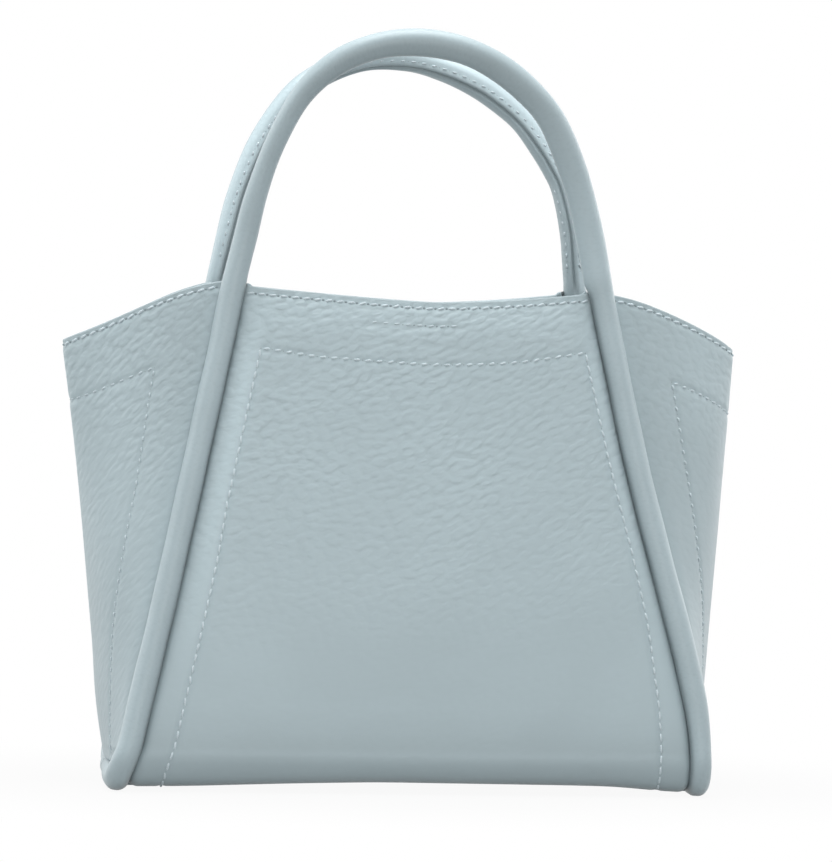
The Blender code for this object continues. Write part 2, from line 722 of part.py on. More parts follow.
def build_socket(collection, cutters, metal_look):
    place, towards_front = facing_surface(1, SOCKET_BELOW_RIM)
    hole = SNAP_SHANK_RADIUS + CLEARANCE
    socket_hole = round_cutter("socket_hole_cutter", place, hole, CUTTER_REACH * FACING_THICKNESS, cutters)
    cut(bpy.data.objects["back_facing"], socket_hole)
    socket_profile = [
        (0.0, SOCKET_FLOOR),
        (SOCKET_BORE_RADIUS, SOCKET_FLOOR),
        (SOCKET_BORE_RADIUS, SOCKET_HEIGHT),
        (SOCKET_RADIUS * SOCKET_TOP_SHARE, SOCKET_HEIGHT),
        (SOCKET_RADIUS, SOCKET_HEIGHT * SOCKET_SIDE_SHARE),
        (SOCKET_RADIUS, CLEARANCE),
        (SNAP_SHANK_RADIUS, CLEARANCE),
        (SNAP_SHANK_RADIUS, -FACING_THICKNESS),
        (0.0, -FACING_THICKNESS),
    ]
    socket = turned("snap_socket", socket_profile, metal_look, collection)
    socket.rotation_euler = towards_front.to_track_quat("Z", "Y").to_euler()
    socket.location = place


def keep_place_under(piece, pivot):
    piece.parent = pivot
    piece.location = Vector(piece.location) - Vector(pivot.location)


def main():
    clear_scene()
    tote = new_collection("tote_bag")
    cutters = new_collection("cutters", hidden=True)
    leather = material("pebbled_leather", (0.57, 0.64, 0.68), 0.55)
    tube_leather = material("tube_leather", (0.57, 0.64, 0.68), 0.45)
    facing_leather = material("facing_leather", (0.55, 0.62, 0.66), 0.55)
    lining = material("lining_cloth", (0.50, 0.55, 0.58), 0.85)
    board = material("base_board", (0.45, 0.40, 0.34), 0.90)
    core = material("tube_core", (0.82, 0.80, 0.76), 0.90)
    metal = material("snap_metal", (0.75, 0.75, 0.76), 0.28, 1.0)
    build_leather_body(tote, leather)
    build_inside(tote, facing_leather, lining, board)
    build_seam_tubes(tote, cutters, tube_leather, core)
    build_handles(tote, tube_leather, core)
    build_tab(tote, cutters, facing_leather, metal)
    build_socket(tote, cutters, metal)


main()
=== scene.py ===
"""Dresses a small winged leather tote bag: pebbled leather, rolled handles, stitching, lining and snap."""
import json
import math

import bmesh
import bpy
import numpy as np
from mathutils import Matrix, Vector


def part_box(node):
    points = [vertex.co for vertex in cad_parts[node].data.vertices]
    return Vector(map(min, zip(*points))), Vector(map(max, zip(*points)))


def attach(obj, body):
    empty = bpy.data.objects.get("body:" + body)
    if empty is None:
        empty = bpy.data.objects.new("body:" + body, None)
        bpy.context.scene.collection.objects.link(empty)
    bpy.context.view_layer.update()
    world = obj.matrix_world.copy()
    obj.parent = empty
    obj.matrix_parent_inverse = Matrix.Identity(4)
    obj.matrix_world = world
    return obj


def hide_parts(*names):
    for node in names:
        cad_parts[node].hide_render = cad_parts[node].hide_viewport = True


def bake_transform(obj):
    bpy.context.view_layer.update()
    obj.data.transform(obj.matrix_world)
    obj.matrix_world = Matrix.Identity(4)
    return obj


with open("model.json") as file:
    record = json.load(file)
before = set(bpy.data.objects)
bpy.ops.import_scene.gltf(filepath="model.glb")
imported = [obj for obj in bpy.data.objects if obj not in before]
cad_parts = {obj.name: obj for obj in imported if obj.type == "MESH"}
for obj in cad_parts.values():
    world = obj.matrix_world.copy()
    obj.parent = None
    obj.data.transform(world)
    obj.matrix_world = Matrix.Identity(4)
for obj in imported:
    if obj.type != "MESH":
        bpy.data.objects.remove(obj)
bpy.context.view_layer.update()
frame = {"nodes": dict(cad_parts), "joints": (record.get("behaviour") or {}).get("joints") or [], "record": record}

# Main sizes, read from the frame where it has them
joints = {joint["name"]: joint for joint in frame["joints"]}
mounts = {mount["name"]: mount for mount in frame["record"]["mounts"]}
handle_pivot = joints["front_handle_tilt"]["pos_m"]
RIM_HEIGHT = handle_pivot[2]
RIM_HALF_DEPTH = -handle_pivot[1]
RIM_HALF_WIDTH = 0.0646
BASE_RUN_BOW = 0.0015
BASE_HALF_WIDTH = mounts["right_base_rest"]["pos_m"][0] - BASE_RUN_BOW
BASE_HALF_DEPTH = 0.0460
BASE_TURN_RADIUS = 0.0090
TUBE_RADIUS = 0.00435
TUBE_WEAR_FLAT = 0.0003
HANDLE_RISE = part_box("front_handle")[1].z - TUBE_RADIUS - RIM_HEIGHT
HANDLE_LEAN = 0.0150
HANDLE_LEAN_POWER = 1.6

# Leather, lining and core
LEATHER_THICKNESS = 0.0014
FACING_THICKNESS = 0.0012
LINING_THICKNESS = 0.0005
COVER_THICKNESS = 0.0012
CLEARANCE = 0.0003
FACING_DEPTH = 0.0200
PANEL_LAP_UNDER_BASE = 0.0030
LINING_TURN_ANGLE = math.radians(42)
# How far the walls reach in under the seam tubes
TUBE_OVERLAP = 0.0006

# How the seams of the soft bag lie, as the photograph shows them; a pair of heights, depths or distances says
# where a change begins and where it is complete
RIGHT_SEAM_BOW = 0.0037
RIGHT_SEAM_BOW_HEIGHT = 0.036
RIGHT_SEAM_BOW_TOP = 0.125
RIGHT_SEAM_BOW_FOOT = 0.031
RIGHT_SEAM_BOW_POWER = 1.8
LEFT_SEAM_BOW = 0.0004
LEFT_SEAM_BOW_FROM_TOP = (0.150, 0.100)
LEFT_SEAM_BOW_FROM_FOOT = (0.020, 0.060)
LEFT_RIM_PULL = 0.0005
LEFT_RIM_PULL_HEIGHTS = (0.150, 0.176)
BACK_SEAM_SHARE = 0.3
BACK_RIM_SHIFT = -0.0018
BACK_RIM_SHIFT_HEIGHTS = (0.110, 0.176)
SOFT_BASE_BOW = 0.0006
# How far the left tube stands to the right at its front and back foot
LEFT_FOOT_SHIFT = {-1: -0.0016, 1: 0.0012}
LEFT_FOOT_HEIGHTS = (0.018, 0.005)
LEFT_FOOT_DEPTHS = (0.0, 0.034)
RIGHT_FOOT_SQUEEZE = 0.00060
RIGHT_FOOT_HEIGHTS = (0.046, 0.014)
# How far the front and back leather sags below its straight lower edge, from left to right
BASE_SAG = ((-0.096, 0.0021), (-0.078, 0.0018), (-0.041, 0.0005), (-0.012, -0.0002), (0.058, 0.0002),
            (0.074, 0.0005), (0.087, 0.0018), (0.096, 0.0022))
BASE_SAG_BACK_SHARE = 0.5
BASE_SAG_REACH = 0.0180
# How far the corners of such lines are rounded, on the walls and on the tubes
WALL_EASE = 0.008
TUBE_EASE = 0.003
# How deep the base's leather sits in the tubes, how far its lining stays off them, and the lining's rise
BASE_IN_TUBE = 0.0004
BASE_LINING_GAP = 0.0018
BASE_LINING_RISE = 0.0006

# The wings' folds at mid depth: how far each lies to the right of its straight line, at heights up the bag
FOLD_SHIFT = {
    -1: ((0.045, 0.0), (0.064, -0.0008), (0.086, -0.0013), (0.114, -0.0015), (0.135, -0.0017),
         (0.156, -0.0023)),
    1: ((0.030, -0.0008), (0.055, -0.0011), (0.095, -0.0007), (0.121, -0.0010), (0.137, -0.0015),
        (0.156, -0.0026)),
}
FOLD_HALF_WIDTH = 0.1197
FOLD_TIP_HEIGHT = 0.1555
FOLD_FLARE_BELOW = 0.0140
FOLD_FOOT_HEIGHT = 0.0300
FOLD_SHARPNESS_TOP = 1.30
FOLD_SHARPNESS_BASE = 2.0
WING_FOOT_SPREAD = 0.0029

# A wing's top edge: its height at the tube, its drop to the tip and how late it drops
WING_TOP = {-1: (0.1773, 0.0220, 1.10), 1: (0.1756, 0.0186, 1.28)}
WING_TOP_WAVE = {-1: 0.0007, 1: 0.0001}
WING_TIP_ROUND = {-1: 0.0002, 1: 0.0004}
WING_TIP_ROUND_FROM = 0.1535
BACK_WING_DROP = 0.0012

# The front and back rim, and the swell of the walls
RIM_DIP = 0.0044
RIM_DIP_CENTRE = 0.08
RIM_DIP_POWERS = (1.25, 1.6)
RIM_CORNER_FLARE = 0.0011
RIM_CORNER = (0.965, 1.0)
PANEL_BULGE = 0.0022
PANEL_SLUMP = 0.0007
PANEL_EDGE_ROLL = 0.0027
PANEL_EDGE_ROLL_WIDTH = 0.0036
PANEL_EDGE_ROLL_FROM_RIM = (-0.001, 0.012)
STRIP_RISE = 0.0024
STRIP_RISE_FROM_RIM = (-0.002, 0.018)
STRIP_RISE_FULL = 0.10
STRIP_BEYOND_STITCH = 0.0028
WING_SLUMP = 0.0011
WING_SLUMP_HEIGHTS = (0.012, 0.05)
GUSSET_EDGE_ROLL = 0.0016
GUSSET_EDGE_ROLL_WIDTH = 0.0060
GUSSET_EDGE_ROLL_RISE = 0.012
LINING_FOLD = 0.0011
# How deep a cut rim is pressed and how much darker it is coloured, and how far below the rim
RIM_PRESS = 0.00016
RIM_PRESS_REACH = (0.0028, 0.0005)
RIM_DARKENING = 0.28
RIM_DARKENING_REACH = (0.0018, 0.0)
EDGE_STEPS = 4
EDGE_TEXTURE_STEP = 0.0003

# The pebbles' strength down a panel and up a wing, and the painted shade about a panel's turn into the base
PANEL_GRAIN = ((0.0, 1.45), (0.05, 1.25), (0.09, 0.82), (0.13, 0.15), (0.18, 0.12))
WING_GRAIN = ((0.0, 0.42), (0.05, 0.5), (0.10, 0.66), (0.15, 1.45))
FOOT_SHADE = ((-0.030, 0.0), (-0.016, 0.03), (-0.008, 0.14), (-0.002, 0.30), (0.002, 0.22), (0.008, 0.24),
              (0.012, 0.34))
# How strongly painted shade darkens the lower part of a wing, and between which heights
WING_SHADE = 0.13
WING_SHADE_HEIGHTS = {-1: (0.10, 0.05), 1: (0.15, 0.11)}
# The painted shade of a wing beside its tubes, its reach from them and its heights, and the fold,
# which is lighter from wear and from painted light
WING_EDGE_SHADE = 0.22
WING_EDGE_SHADE_REACH = (0.018, 0.0)
WING_EDGE_SHADE_HEIGHTS = (0.05, 0.15)
FOLD_WEAR_AND_LIGHT = 0.7
FOLD_WEAR_AND_LIGHT_WIDTH = 0.035
# The painted shade of a panel in the groove beside its tubes, and the lighter, worn turn into the base
GROOVE_SHADE = 1.1
GROOVE_SHADE_REACH = (0.0022, 0.0004)
TURN_WEAR = 0.6
TURN_WEAR_CENTRE = 0.004
TURN_WEAR_REACH = (0.012, 0.0)
# The smoother strip of a panel between tube and slanted stitches, lightened with painted light: how it
# begins beside the seam, ends past the stitches, grows up from the foot and fades towards the rim
STRIP_PAINTED_LIGHT = 3.0
STRIP_SMOOTHNESS = 0.4
STRIP_FROM_SEAM = (0.001, 0.007)
STRIP_PAST_STITCH = (0.0022, -0.0030)
STRIP_FROM_FOOT = (0.165, 0.06)
STRIP_FROM_RIM = (0.010, 0.032)
STRIP_AT_RIM = 0.25

# Stitching
STITCH_PITCH = 0.0039
STITCH_GROOVE = 0.00035
STITCH_GROOVE_WIDTH = 0.0011
STITCH_LIFT = LEATHER_THICKNESS / 2 - 0.7 * STITCH_GROOVE
STITCH_SLANT_SPREAD = 4
# A stitch's length and thread radius, its needle holes' radius, its slant in degrees, and the looks of the
# thread and of the holes' painted shade
BOLD = (0.0027, 0.00034, 0.00042, 13, "thread", "hole")
FINE = (0.0025, 0.00036, 0.00021, 13, "thread", "soft_hole")
LONG = (0.0031, 0.00038, 0.00013, 4, "thread", "soft_hole")
SMALL = (0.0019, 0.00028, 0.00015, 13, "soft_thread", "soft_hole")
SUNK = (0.0023, 0.00028, 0.00034, 13, "soft_thread", "hole")
DOTTED = (0.0019, 0.00038, 0.00015, 13, "soft_thread", "soft_hole")
RIM_STITCH_DROP = 0.0026
RIM_STITCH_REACH = 0.985
WING_RIM_STITCH_DROP = 0.0021
WING_RIM_STITCH_REACH = 0.97
WING_STITCH_FOOT = 0.0115
FACING_STITCH_DROP = 0.0216
# The panels' line at the facing's foot: its share of the rim's dip, its sag, and its rise towards the right
HEM_DIP_SHARE = 0.9
HEM_SAG = 0.0013
HEM_RISE = 0.0009
# How far the wings' line at the facing's foot lies below the rim, at the fold and at the slanted line
WING_FACING_STITCH_DROP = {-1: (0.0214, 0.0252), 1: (0.0236, 0.0257)}
# How far the panels' slanted lines lie from the seam tube's centre, at heights; the front right one by itself
SLANT_OFFSET = ((0.005, 0.0155), (0.081, 0.0150), (0.100, 0.0140))
FRONT_RIGHT_SLANT_OFFSET = ((0.008, 0.0145), (0.040, 0.0129), (0.060, 0.0111), (0.085, 0.0101),
                            (0.105, 0.0100), (0.150, 0.0105))
# The same for the wings, in plan
WING_SLANT_GAP = {
    -1: ((0.030, 0.0220), (0.053, 0.0225), (0.083, 0.0214), (0.105, 0.0208), (0.140, 0.0224)),
    1: ((0.030, 0.0236), (0.053, 0.0240), (0.085, 0.0224), (0.110, 0.0224)),
}
TAB_STITCH_DROP = 0.0089
TAB_STITCH_HALF = 0.0162
TAB_STITCH_MIDDLE = -0.0018
TAB_STITCH_INSET = 0.0022
TAB_DENT = 0.00030
TAB_DENT_SOFTNESS = 0.002
TAB_CORNER = 0.0080
SNAP_HOLE_RADIUS = 0.0017
DRILL_LENGTH = 0.03

# The centre lines of the two handles seen from the front, left to right and height, from the photograph
ARCH = {
    -1: ((-0.0651, 0.1755), (-0.0614, 0.1912), (-0.0578, 0.2079), (-0.0525, 0.2246), (-0.0440, 0.2413),
         (-0.0328, 0.2524), (-0.0190, 0.2591), (-0.0050, 0.2613), (0.0095, 0.2597), (0.0225, 0.2548),
         (0.0342, 0.2468), (0.0449, 0.2356), (0.0531, 0.2192), (0.0587, 0.2026), (0.0626, 0.1859),
         (0.0646, 0.1755)),
    1: ((-0.0669, 0.1755), (-0.0634, 0.1920), (-0.0592, 0.2094), (-0.0522, 0.2270), (-0.0402, 0.2449),
        (-0.0275, 0.2541), (-0.0130, 0.2594), (0.0030, 0.2596), (0.0156, 0.2560), (0.0267, 0.2509),
        (0.0350, 0.2455), (0.0432, 0.2385), (0.0496, 0.2299), (0.0549, 0.2213), (0.0586, 0.2126),
        (0.0618, 0.1952), (0.0629, 0.1755)),
}
# How far the lap of the handle leather is turned from its inner face, in degrees, from left to right
LAP_TURN = {
    -1: ((-0.06, 0), (0.06, 0)),
    1: ((-0.0669, 0), (-0.0640, -5), (-0.0600, -10), (-0.0550, -17), (-0.0475, -24), (-0.0380, -42),
        (-0.0200, -64), (-0.0050, -54), (0.0063, -47), (0.0156, -34), (0.0241, -28), (0.0311, -23),
        (0.0433, -21), (0.0485, -13), (0.0592, -10), (0.0618, 6), (0.0629, 9)),
}
# How much thicker each handle is than the tube below it, on its inner and on its outer side
INNER_SWELL = {
    -1: ((-0.0651, 0.0), (-0.0618, -0.0005), (-0.0586, -0.0004), (-0.0542, -0.0007), (-0.0480, -0.0005),
         (-0.0400, 0.0), (-0.0306, 0.0), (-0.0193, 0.0005), (-0.0084, 0.0009), (0.0028, 0.0009),
         (0.0141, 0.0010), (0.0239, 0.0012), (0.0417, 0.0011), (0.0490, 0.0013), (0.0646, 0.0014)),
    1: ((0.040, 0.0), (0.053, -0.0003), (0.0629, -0.0005)),
}
OUTER_SWELL = {
    -1: ((-0.0618, 0.0), (-0.0586, -0.0003), (-0.0542, -0.0009), (-0.0480, -0.0010), (-0.0400, -0.0003),
         (-0.0306, 0.0)),
    1: ((-0.012, 0.0), (0.004, 0.0006), (0.030, 0.0006), (0.045, 0.0)),
}
# The painted shade in the lap and in the crease beside a panel, and their widths round the tube
LAP_SHADE = 0.55
LAP_SHADE_WIDTH = 0.15
CREASE_SHADE = 0.75
CREASE_SHADE_WIDTH = 0.42
# Both handles are worn at the crown; the front one has painted shade below it and painted light down
# its right leg, and the back one has painted light beside its lap
CROWN_HEIGHTS = (0.225, 0.258)
CROWN_SHADE = 0.31
CROWN_WEAR = 0.3
LEG_LIGHT = 0.22
LEG_LIGHT_FROM_CROWN = (0.225, 0.195)
LEG_LIGHT_ABOVE_RIM = 0.009
BACK_LAP_LIGHT = 0.50
PATH_STEP = 0.0020
TUBE_SIDES = 44
CORE_SIDES = 20
# A tube turns from a seam into a handle between these heights, and its path is rounded about the rim
HANDLE_STARTS = (RIM_HEIGHT - 0.001, RIM_HEIGHT + 0.005)
RIM_BEND_REACH = 0.016
RIM_BEND_PASSES = 30
# The tube that is pressed thinner at the right foot sinks to the floor between these heights
PRESSED_DOWN_HEIGHTS = (0.014, 0.005)
# The lap of the handle leather, and the swelling on both sides of it
LAP_DEPTH = 0.00085
LAP_WIDTH = 0.115
LAP_SWELL = 0.00012
LAP_SWELL_TURN = 0.30
LAP_SWELL_WIDTH = 0.16
LAP_HALF_ANGLE = 0.36
LAP_FINE_STEPS = 13
SEAM_CREASE_ANGLE = math.radians(-95)
HANDLE_STITCH_TURN = math.radians(35)
HANDLE_STITCH_DENT = 0.00022
HANDLE_STITCH_DENT_WIDTH = 0.15
HANDLE_STITCH_FROM = 0.0075
# Right of this place the handles show a second row of stitches, on the lap's other side
SECOND_ROW_FROM = 0.0575

# Colours, as linear RGB
LEATHER = (0.421, 0.515, 0.547)
# The tubes' leather is darker than the panels', partly as its own colour and partly as painted shade
TUBE_LEATHER = (0.385, 0.472, 0.503)
THREAD = (0.570, 0.657, 0.696)
SOFT_THREAD = (0.520, 0.602, 0.640)
# The needle holes' two colours are painted shade, drawn on small dark domes
HOLE_SHADE = (0.230, 0.284, 0.304)
SOFT_HOLE_SHADE = (0.310, 0.378, 0.402)
LINING = (0.330, 0.375, 0.390)
CORE = (0.62, 0.58, 0.52)
BOARD = (0.20, 0.16, 0.11)
METAL = (0.60, 0.60, 0.61)
FLOOR = (0.40, 0.40, 0.40)

# The camera, and the studio: each softbox's name, place, width and height, and power
VIEW_AZIMUTH = math.radians(-7.0)
VIEW_PITCH = math.radians(1.34)
VIEW_ROLL = math.radians(1.33)
VIEW_DISTANCE = 1.6
VIEW_TARGET = Vector((0.0033, 0, 0.1253))
FOCAL_PIXELS = 4494
IMAGE_WIDTH = 832
SENSOR = 36.0
FLOOR_HALF_SIZE = 3.0
WORLD_LEVEL = 0.30
LAMP_TARGET = Vector((0, 0, 0.12))
SOFTBOXES = (
    ("left_high", (-1.2, -0.2, 0.8), (0.8, 0.9), 4.2),
    ("left_low", (-1.3, 0.0, 0.35), (0.8, 0.6), 1.0),
    ("right_high", (1.2, -0.2, 0.8), (0.8, 0.9), 1.8),
    ("right_low", (1.3, 0.0, 0.35), (0.8, 0.6), 1.5),
    ("top", (0.0, -0.05, 1.3), (1.0, 1.0), 18.0),
    ("front", (0.0, -1.9, 0.3), (1.0, 0.7), 9.2),
    ("left_back", (-1.0, 0.8, 0.4), (0.7, 0.9), 3.3),
    ("right_back", (1.0, 0.8, 0.4), (0.7, 0.9), 3.5),
)

# The seam in the side view: a straight wall, an arc under the bag and a run across the base
BASE_HEIGHT = TUBE_RADIUS - TUBE_WEAR_FLAT
WALL_DROP = RIM_HEIGHT - BASE_HEIGHT
WALL_FLARE = BASE_HALF_DEPTH - RIM_HALF_DEPTH
WALL_LENGTH = math.hypot(WALL_DROP, WALL_FLARE)
WALL_TILT = math.atan2(WALL_FLARE, WALL_DROP)
WALL_FROM_SEAM = TUBE_RADIUS - TUBE_OVERLAP
WING_FOOT = BASE_HEIGHT + TUBE_RADIUS + CLEARANCE
TURN_ANGLE = math.pi / 2 + WALL_TILT
TURN_SETBACK = BASE_TURN_RADIUS * math.tan(TURN_ANGLE / 2)
TURN_START = WALL_LENGTH - TURN_SETBACK
TURN_END = TURN_START + BASE_TURN_RADIUS * TURN_ANGLE
TURN_CENTRE_DEPTH = BASE_HALF_DEPTH - TURN_SETBACK
TURN_CENTRE_HEIGHT = BASE_HEIGHT + BASE_TURN_RADIUS
SEAM_LENGTH = TURN_END + TURN_CENTRE_DEPTH


def smooth(edge_0, edge_1, value):
    """A soft step from 0 at the first edge to 1 at the second."""
    t = np.clip((value - edge_0) / (edge_1 - edge_0), 0, 1)
    return t * t * (3 - 2 * t)


def hump(value, width):
    """A bell curve, 1 at zero."""
    return np.exp(-(value / width) ** 2)


def profile(value, points):
    """Straight lines through the points."""
    return np.interp(value, *zip(*points))


def eased(value, points, reach):
    """Straight lines through the points, with their corners rounded over the given reach."""
    steps = np.linspace(-reach, reach, 9)
    return sum(profile(value + step, points) for step in steps) / len(steps)


def wrapped(angle):
    """The same angle between -pi and pi."""
    return np.angle(np.exp(1j * angle))


def unit(vectors):
    return vectors / np.maximum(np.linalg.norm(vectors, axis=-1, keepdims=True), 1e-12)


def flattened(vectors, normals):
    """Unit vectors along the vectors' parts at right angles to the normals."""
    return unit(vectors - (vectors * normals).sum(-1, keepdims=True) * normals)


def running_length(points, axis=0):
    """The length so far along a path of points, or along each line of a grid."""
    steps = np.linalg.norm(np.diff(points, axis=axis), axis=-1)
    start = np.zeros_like(np.take(steps, [0], axis))
    return np.concatenate((start, steps.cumsum(axis)), axis)


def read_at(wanted, lengths, values):
    """Vectors kept along a path, read at other lengths."""
    return np.stack([np.interp(wanted, lengths, values[:, axis]) for axis in range(3)], -1)


# The shape of the soft bag

def wall_angle(distance):
    """How far a seam has turned under from facing straight out, at distances along it from the rim."""
    return np.clip((distance - TURN_START) / BASE_TURN_RADIUS, 0, TURN_ANGLE) - WALL_TILT


def seam_depth_height(distance):
    """Depth in front of the middle and height, for distances along a seam from the rim."""
    distance = np.asarray(distance, float)
    share = distance / WALL_LENGTH
    angle = wall_angle(distance)
    turned_depth = TURN_CENTRE_DEPTH + BASE_TURN_RADIUS * np.cos(angle) - np.maximum(0, distance - TURN_END)
    turned_height = TURN_CENTRE_HEIGHT - BASE_TURN_RADIUS * np.sin(angle)
    straight = distance <= TURN_START
    depth = np.where(straight, RIM_HALF_DEPTH + share * WALL_FLARE, turned_depth)
    return depth, np.where(straight, RIM_HEIGHT - share * WALL_DROP, turned_height)


def seam_shift(side, facing, height):
    """How far a seam of the soft bag lies from the straight line, to the right in metres."""
    share = 1.0 if facing < 0 else BACK_SEAM_SHARE
    top = BACK_RIM_SHIFT * smooth(*BACK_RIM_SHIFT_HEIGHTS, height) if facing > 0 else 0.0
    if side > 0:
        above = smooth(RIGHT_SEAM_BOW_TOP, RIGHT_SEAM_BOW_HEIGHT, height)
        drop = np.clip((RIGHT_SEAM_BOW_HEIGHT - height) / RIGHT_SEAM_BOW_FOOT, 0, 1.15)
        below = 1 - drop**RIGHT_SEAM_BOW_POWER
        bow = np.where(height > RIGHT_SEAM_BOW_HEIGHT, above, below)
        return top + share * RIGHT_SEAM_BOW * bow
    bow = LEFT_SEAM_BOW * smooth(*LEFT_SEAM_BOW_FROM_TOP, height) * smooth(*LEFT_SEAM_BOW_FROM_FOOT, height)
    return top + share * (bow - LEFT_RIM_PULL * smooth(*LEFT_RIM_PULL_HEIGHTS, height))


def seam_x(side, facing, depth, height):
    """Where a seam tube's centre is from left to right."""
    half = RIM_HALF_WIDTH + (RIM_HEIGHT - height) / WALL_DROP * (BASE_HALF_WIDTH - RIM_HALF_WIDTH)
    under = np.maximum(0.0, 1 - (depth / TURN_CENTRE_DEPTH) ** 2)
    half = half + np.where(height < TURN_CENTRE_HEIGHT, SOFT_BASE_BOW * under, 0.0)
    foot = 0.0
    if side < 0:
        foot = LEFT_FOOT_SHIFT[facing] * smooth(*LEFT_FOOT_HEIGHTS, height) * smooth(*LEFT_FOOT_DEPTHS, depth)
    return side * half + seam_shift(side, facing, height) + foot


def squeeze(x, height):
    """How much thinner the tube is pressed at the right foot."""
    return RIGHT_FOOT_SQUEEZE * (x > 0) * smooth(*RIGHT_FOOT_HEIGHTS, height)


def base_sag(facing, x):
    return (1.0 if facing < 0 else BASE_SAG_BACK_SHARE) * eased(x, BASE_SAG, WALL_EASE)


def wall_half_depth(height):
    return RIM_HALF_DEPTH + (RIM_HEIGHT - height) / WALL_DROP * WALL_FLARE


def fold_x(side, height):
    """Where the fold at mid depth of a wing is from left to right."""
    share = (FOLD_TIP_HEIGHT - height) / (FOLD_TIP_HEIGHT - BASE_HEIGHT)
    half = FOLD_HALF_WIDTH - share * FOLD_FLARE_BELOW
    draw = np.maximum(0.0, 1 - (height - WING_FOOT) / FOLD_FOOT_HEIGHT) ** 2
    half = half + draw * (BASE_HALF_WIDTH + WING_FOOT_SPREAD - (FOLD_HALF_WIDTH - FOLD_FLARE_BELOW))
    tip_height = FOLD_TIP_HEIGHT + 0.002 - WING_TIP_ROUND_FROM
    tip = np.clip((height - WING_TIP_ROUND_FROM) / tip_height, 0, 1) ** 2
    return side * (half - WING_TIP_ROUND[side] * tip) + eased(height, FOLD_SHIFT[side], WALL_EASE)


def rim_dip(across):
    """How far the front and back rims dip below their ends."""
    left = across < RIM_DIP_CENTRE
    reach = np.where(left, 1 + RIM_DIP_CENTRE, 1 - RIM_DIP_CENTRE)
    away = np.clip(np.abs(across - RIM_DIP_CENTRE) / reach, 0, 1)
    flare = RIM_CORNER_FLARE * smooth(*RIM_CORNER, np.abs(across))
    return RIM_DIP * (1 - away ** np.where(left, *RIM_DIP_POWERS)) - flare


def wing_top(side, along):
    """Height of a side panel's top edge."""
    top, drop, power = WING_TOP[side]
    out = 1 - np.abs(along) ** FOLD_SHARPNESS_TOP
    behind = BACK_WING_DROP * 4 * out * (1 - out) * (along > 0)
    return top - drop * out**power - behind + WING_TOP_WAVE[side] * np.sin(2 * math.pi * out)


def panel_edges(facing, distance, inset=0.0):
    """Where the panel ends beside the left and the right seam tube."""
    depth, height = seam_depth_height(distance)
    gap = WALL_FROM_SEAM + inset
    right = seam_x(1, facing, depth, height) - gap
    return seam_x(-1, facing, depth, height) + gap, right + squeeze(right, height)


def panel_slant_offset(side, facing, height):
    """How far a slanted stitch line of the front or back panel lies from the seam tube's centre."""
    return profile(height, FRONT_RIGHT_SLANT_OFFSET if side > 0 and facing < 0 else SLANT_OFFSET)


def stitch_from_seam(facing, x, height):
    """How far the slanted stitch line lies from the panel's edge beside the seam tube."""
    left = panel_slant_offset(-1, facing, height)
    right = panel_slant_offset(1, facing, height)
    return left + (right - left) * smooth(-0.02, 0.02, x) - WALL_FROM_SEAM


def panel_surface(facing, inset=0.0, offset=0.0):
    """A front or back panel as a function of across, from -1 to 1, and of distance down from the rim."""
    def surface(across, distance):
        depth, height = seam_depth_height(distance)
        left, right = panel_edges(facing, distance, inset)
        x = (left + right) / 2 + across * (right - left) / 2
        from_edge = np.minimum(x - left, right - x) + inset
        roll = PANEL_EDGE_ROLL * np.clip(1 - from_edge / PANEL_EDGE_ROLL_WIDTH, 0, 1) ** 2
        roll = roll * smooth(*PANEL_EDGE_ROLL_FROM_RIM, distance)
        width = stitch_from_seam(facing, x, height) + STRIP_BEYOND_STITCH
        rise = STRIP_RISE * (1 - np.clip(1 - from_edge / width, 0, 1) ** 1.3)
        rise = rise * smooth(*STRIP_RISE_FROM_RIM, distance) * smooth(TURN_START, STRIP_RISE_FULL, distance)
        belly = np.sin(math.pi * np.clip(distance / TURN_START, 0, 1))
        bulge = PANEL_BULGE * (1 - across**2) * belly
        slump = PANEL_SLUMP * np.sin(across * 2.6 + 0.8) * np.sin(distance * 24 + facing)
        out = bulge + slump * (1 - across**4) * belly + rise - roll - offset
        angle = wall_angle(distance)
        depth = facing * (depth + out * np.cos(angle))
        height = height - base_sag(facing, x) * smooth(TURN_START, TURN_END - 0.004, distance)
        return np.stack((x, depth, height - out * np.sin(angle)), -1)
    return surface


def gusset_edge_depth(height):
    """Half the depth of a side panel at its stitched edges."""
    inner = BASE_TURN_RADIUS - TUBE_RADIUS - CLEARANCE
    drop = np.clip(TURN_CENTRE_HEIGHT - height, 0, inner)
    return np.where(height >= TURN_CENTRE_HEIGHT, wall_half_depth(height),
                    TURN_CENTRE_DEPTH + np.sqrt(inner**2 - drop**2))


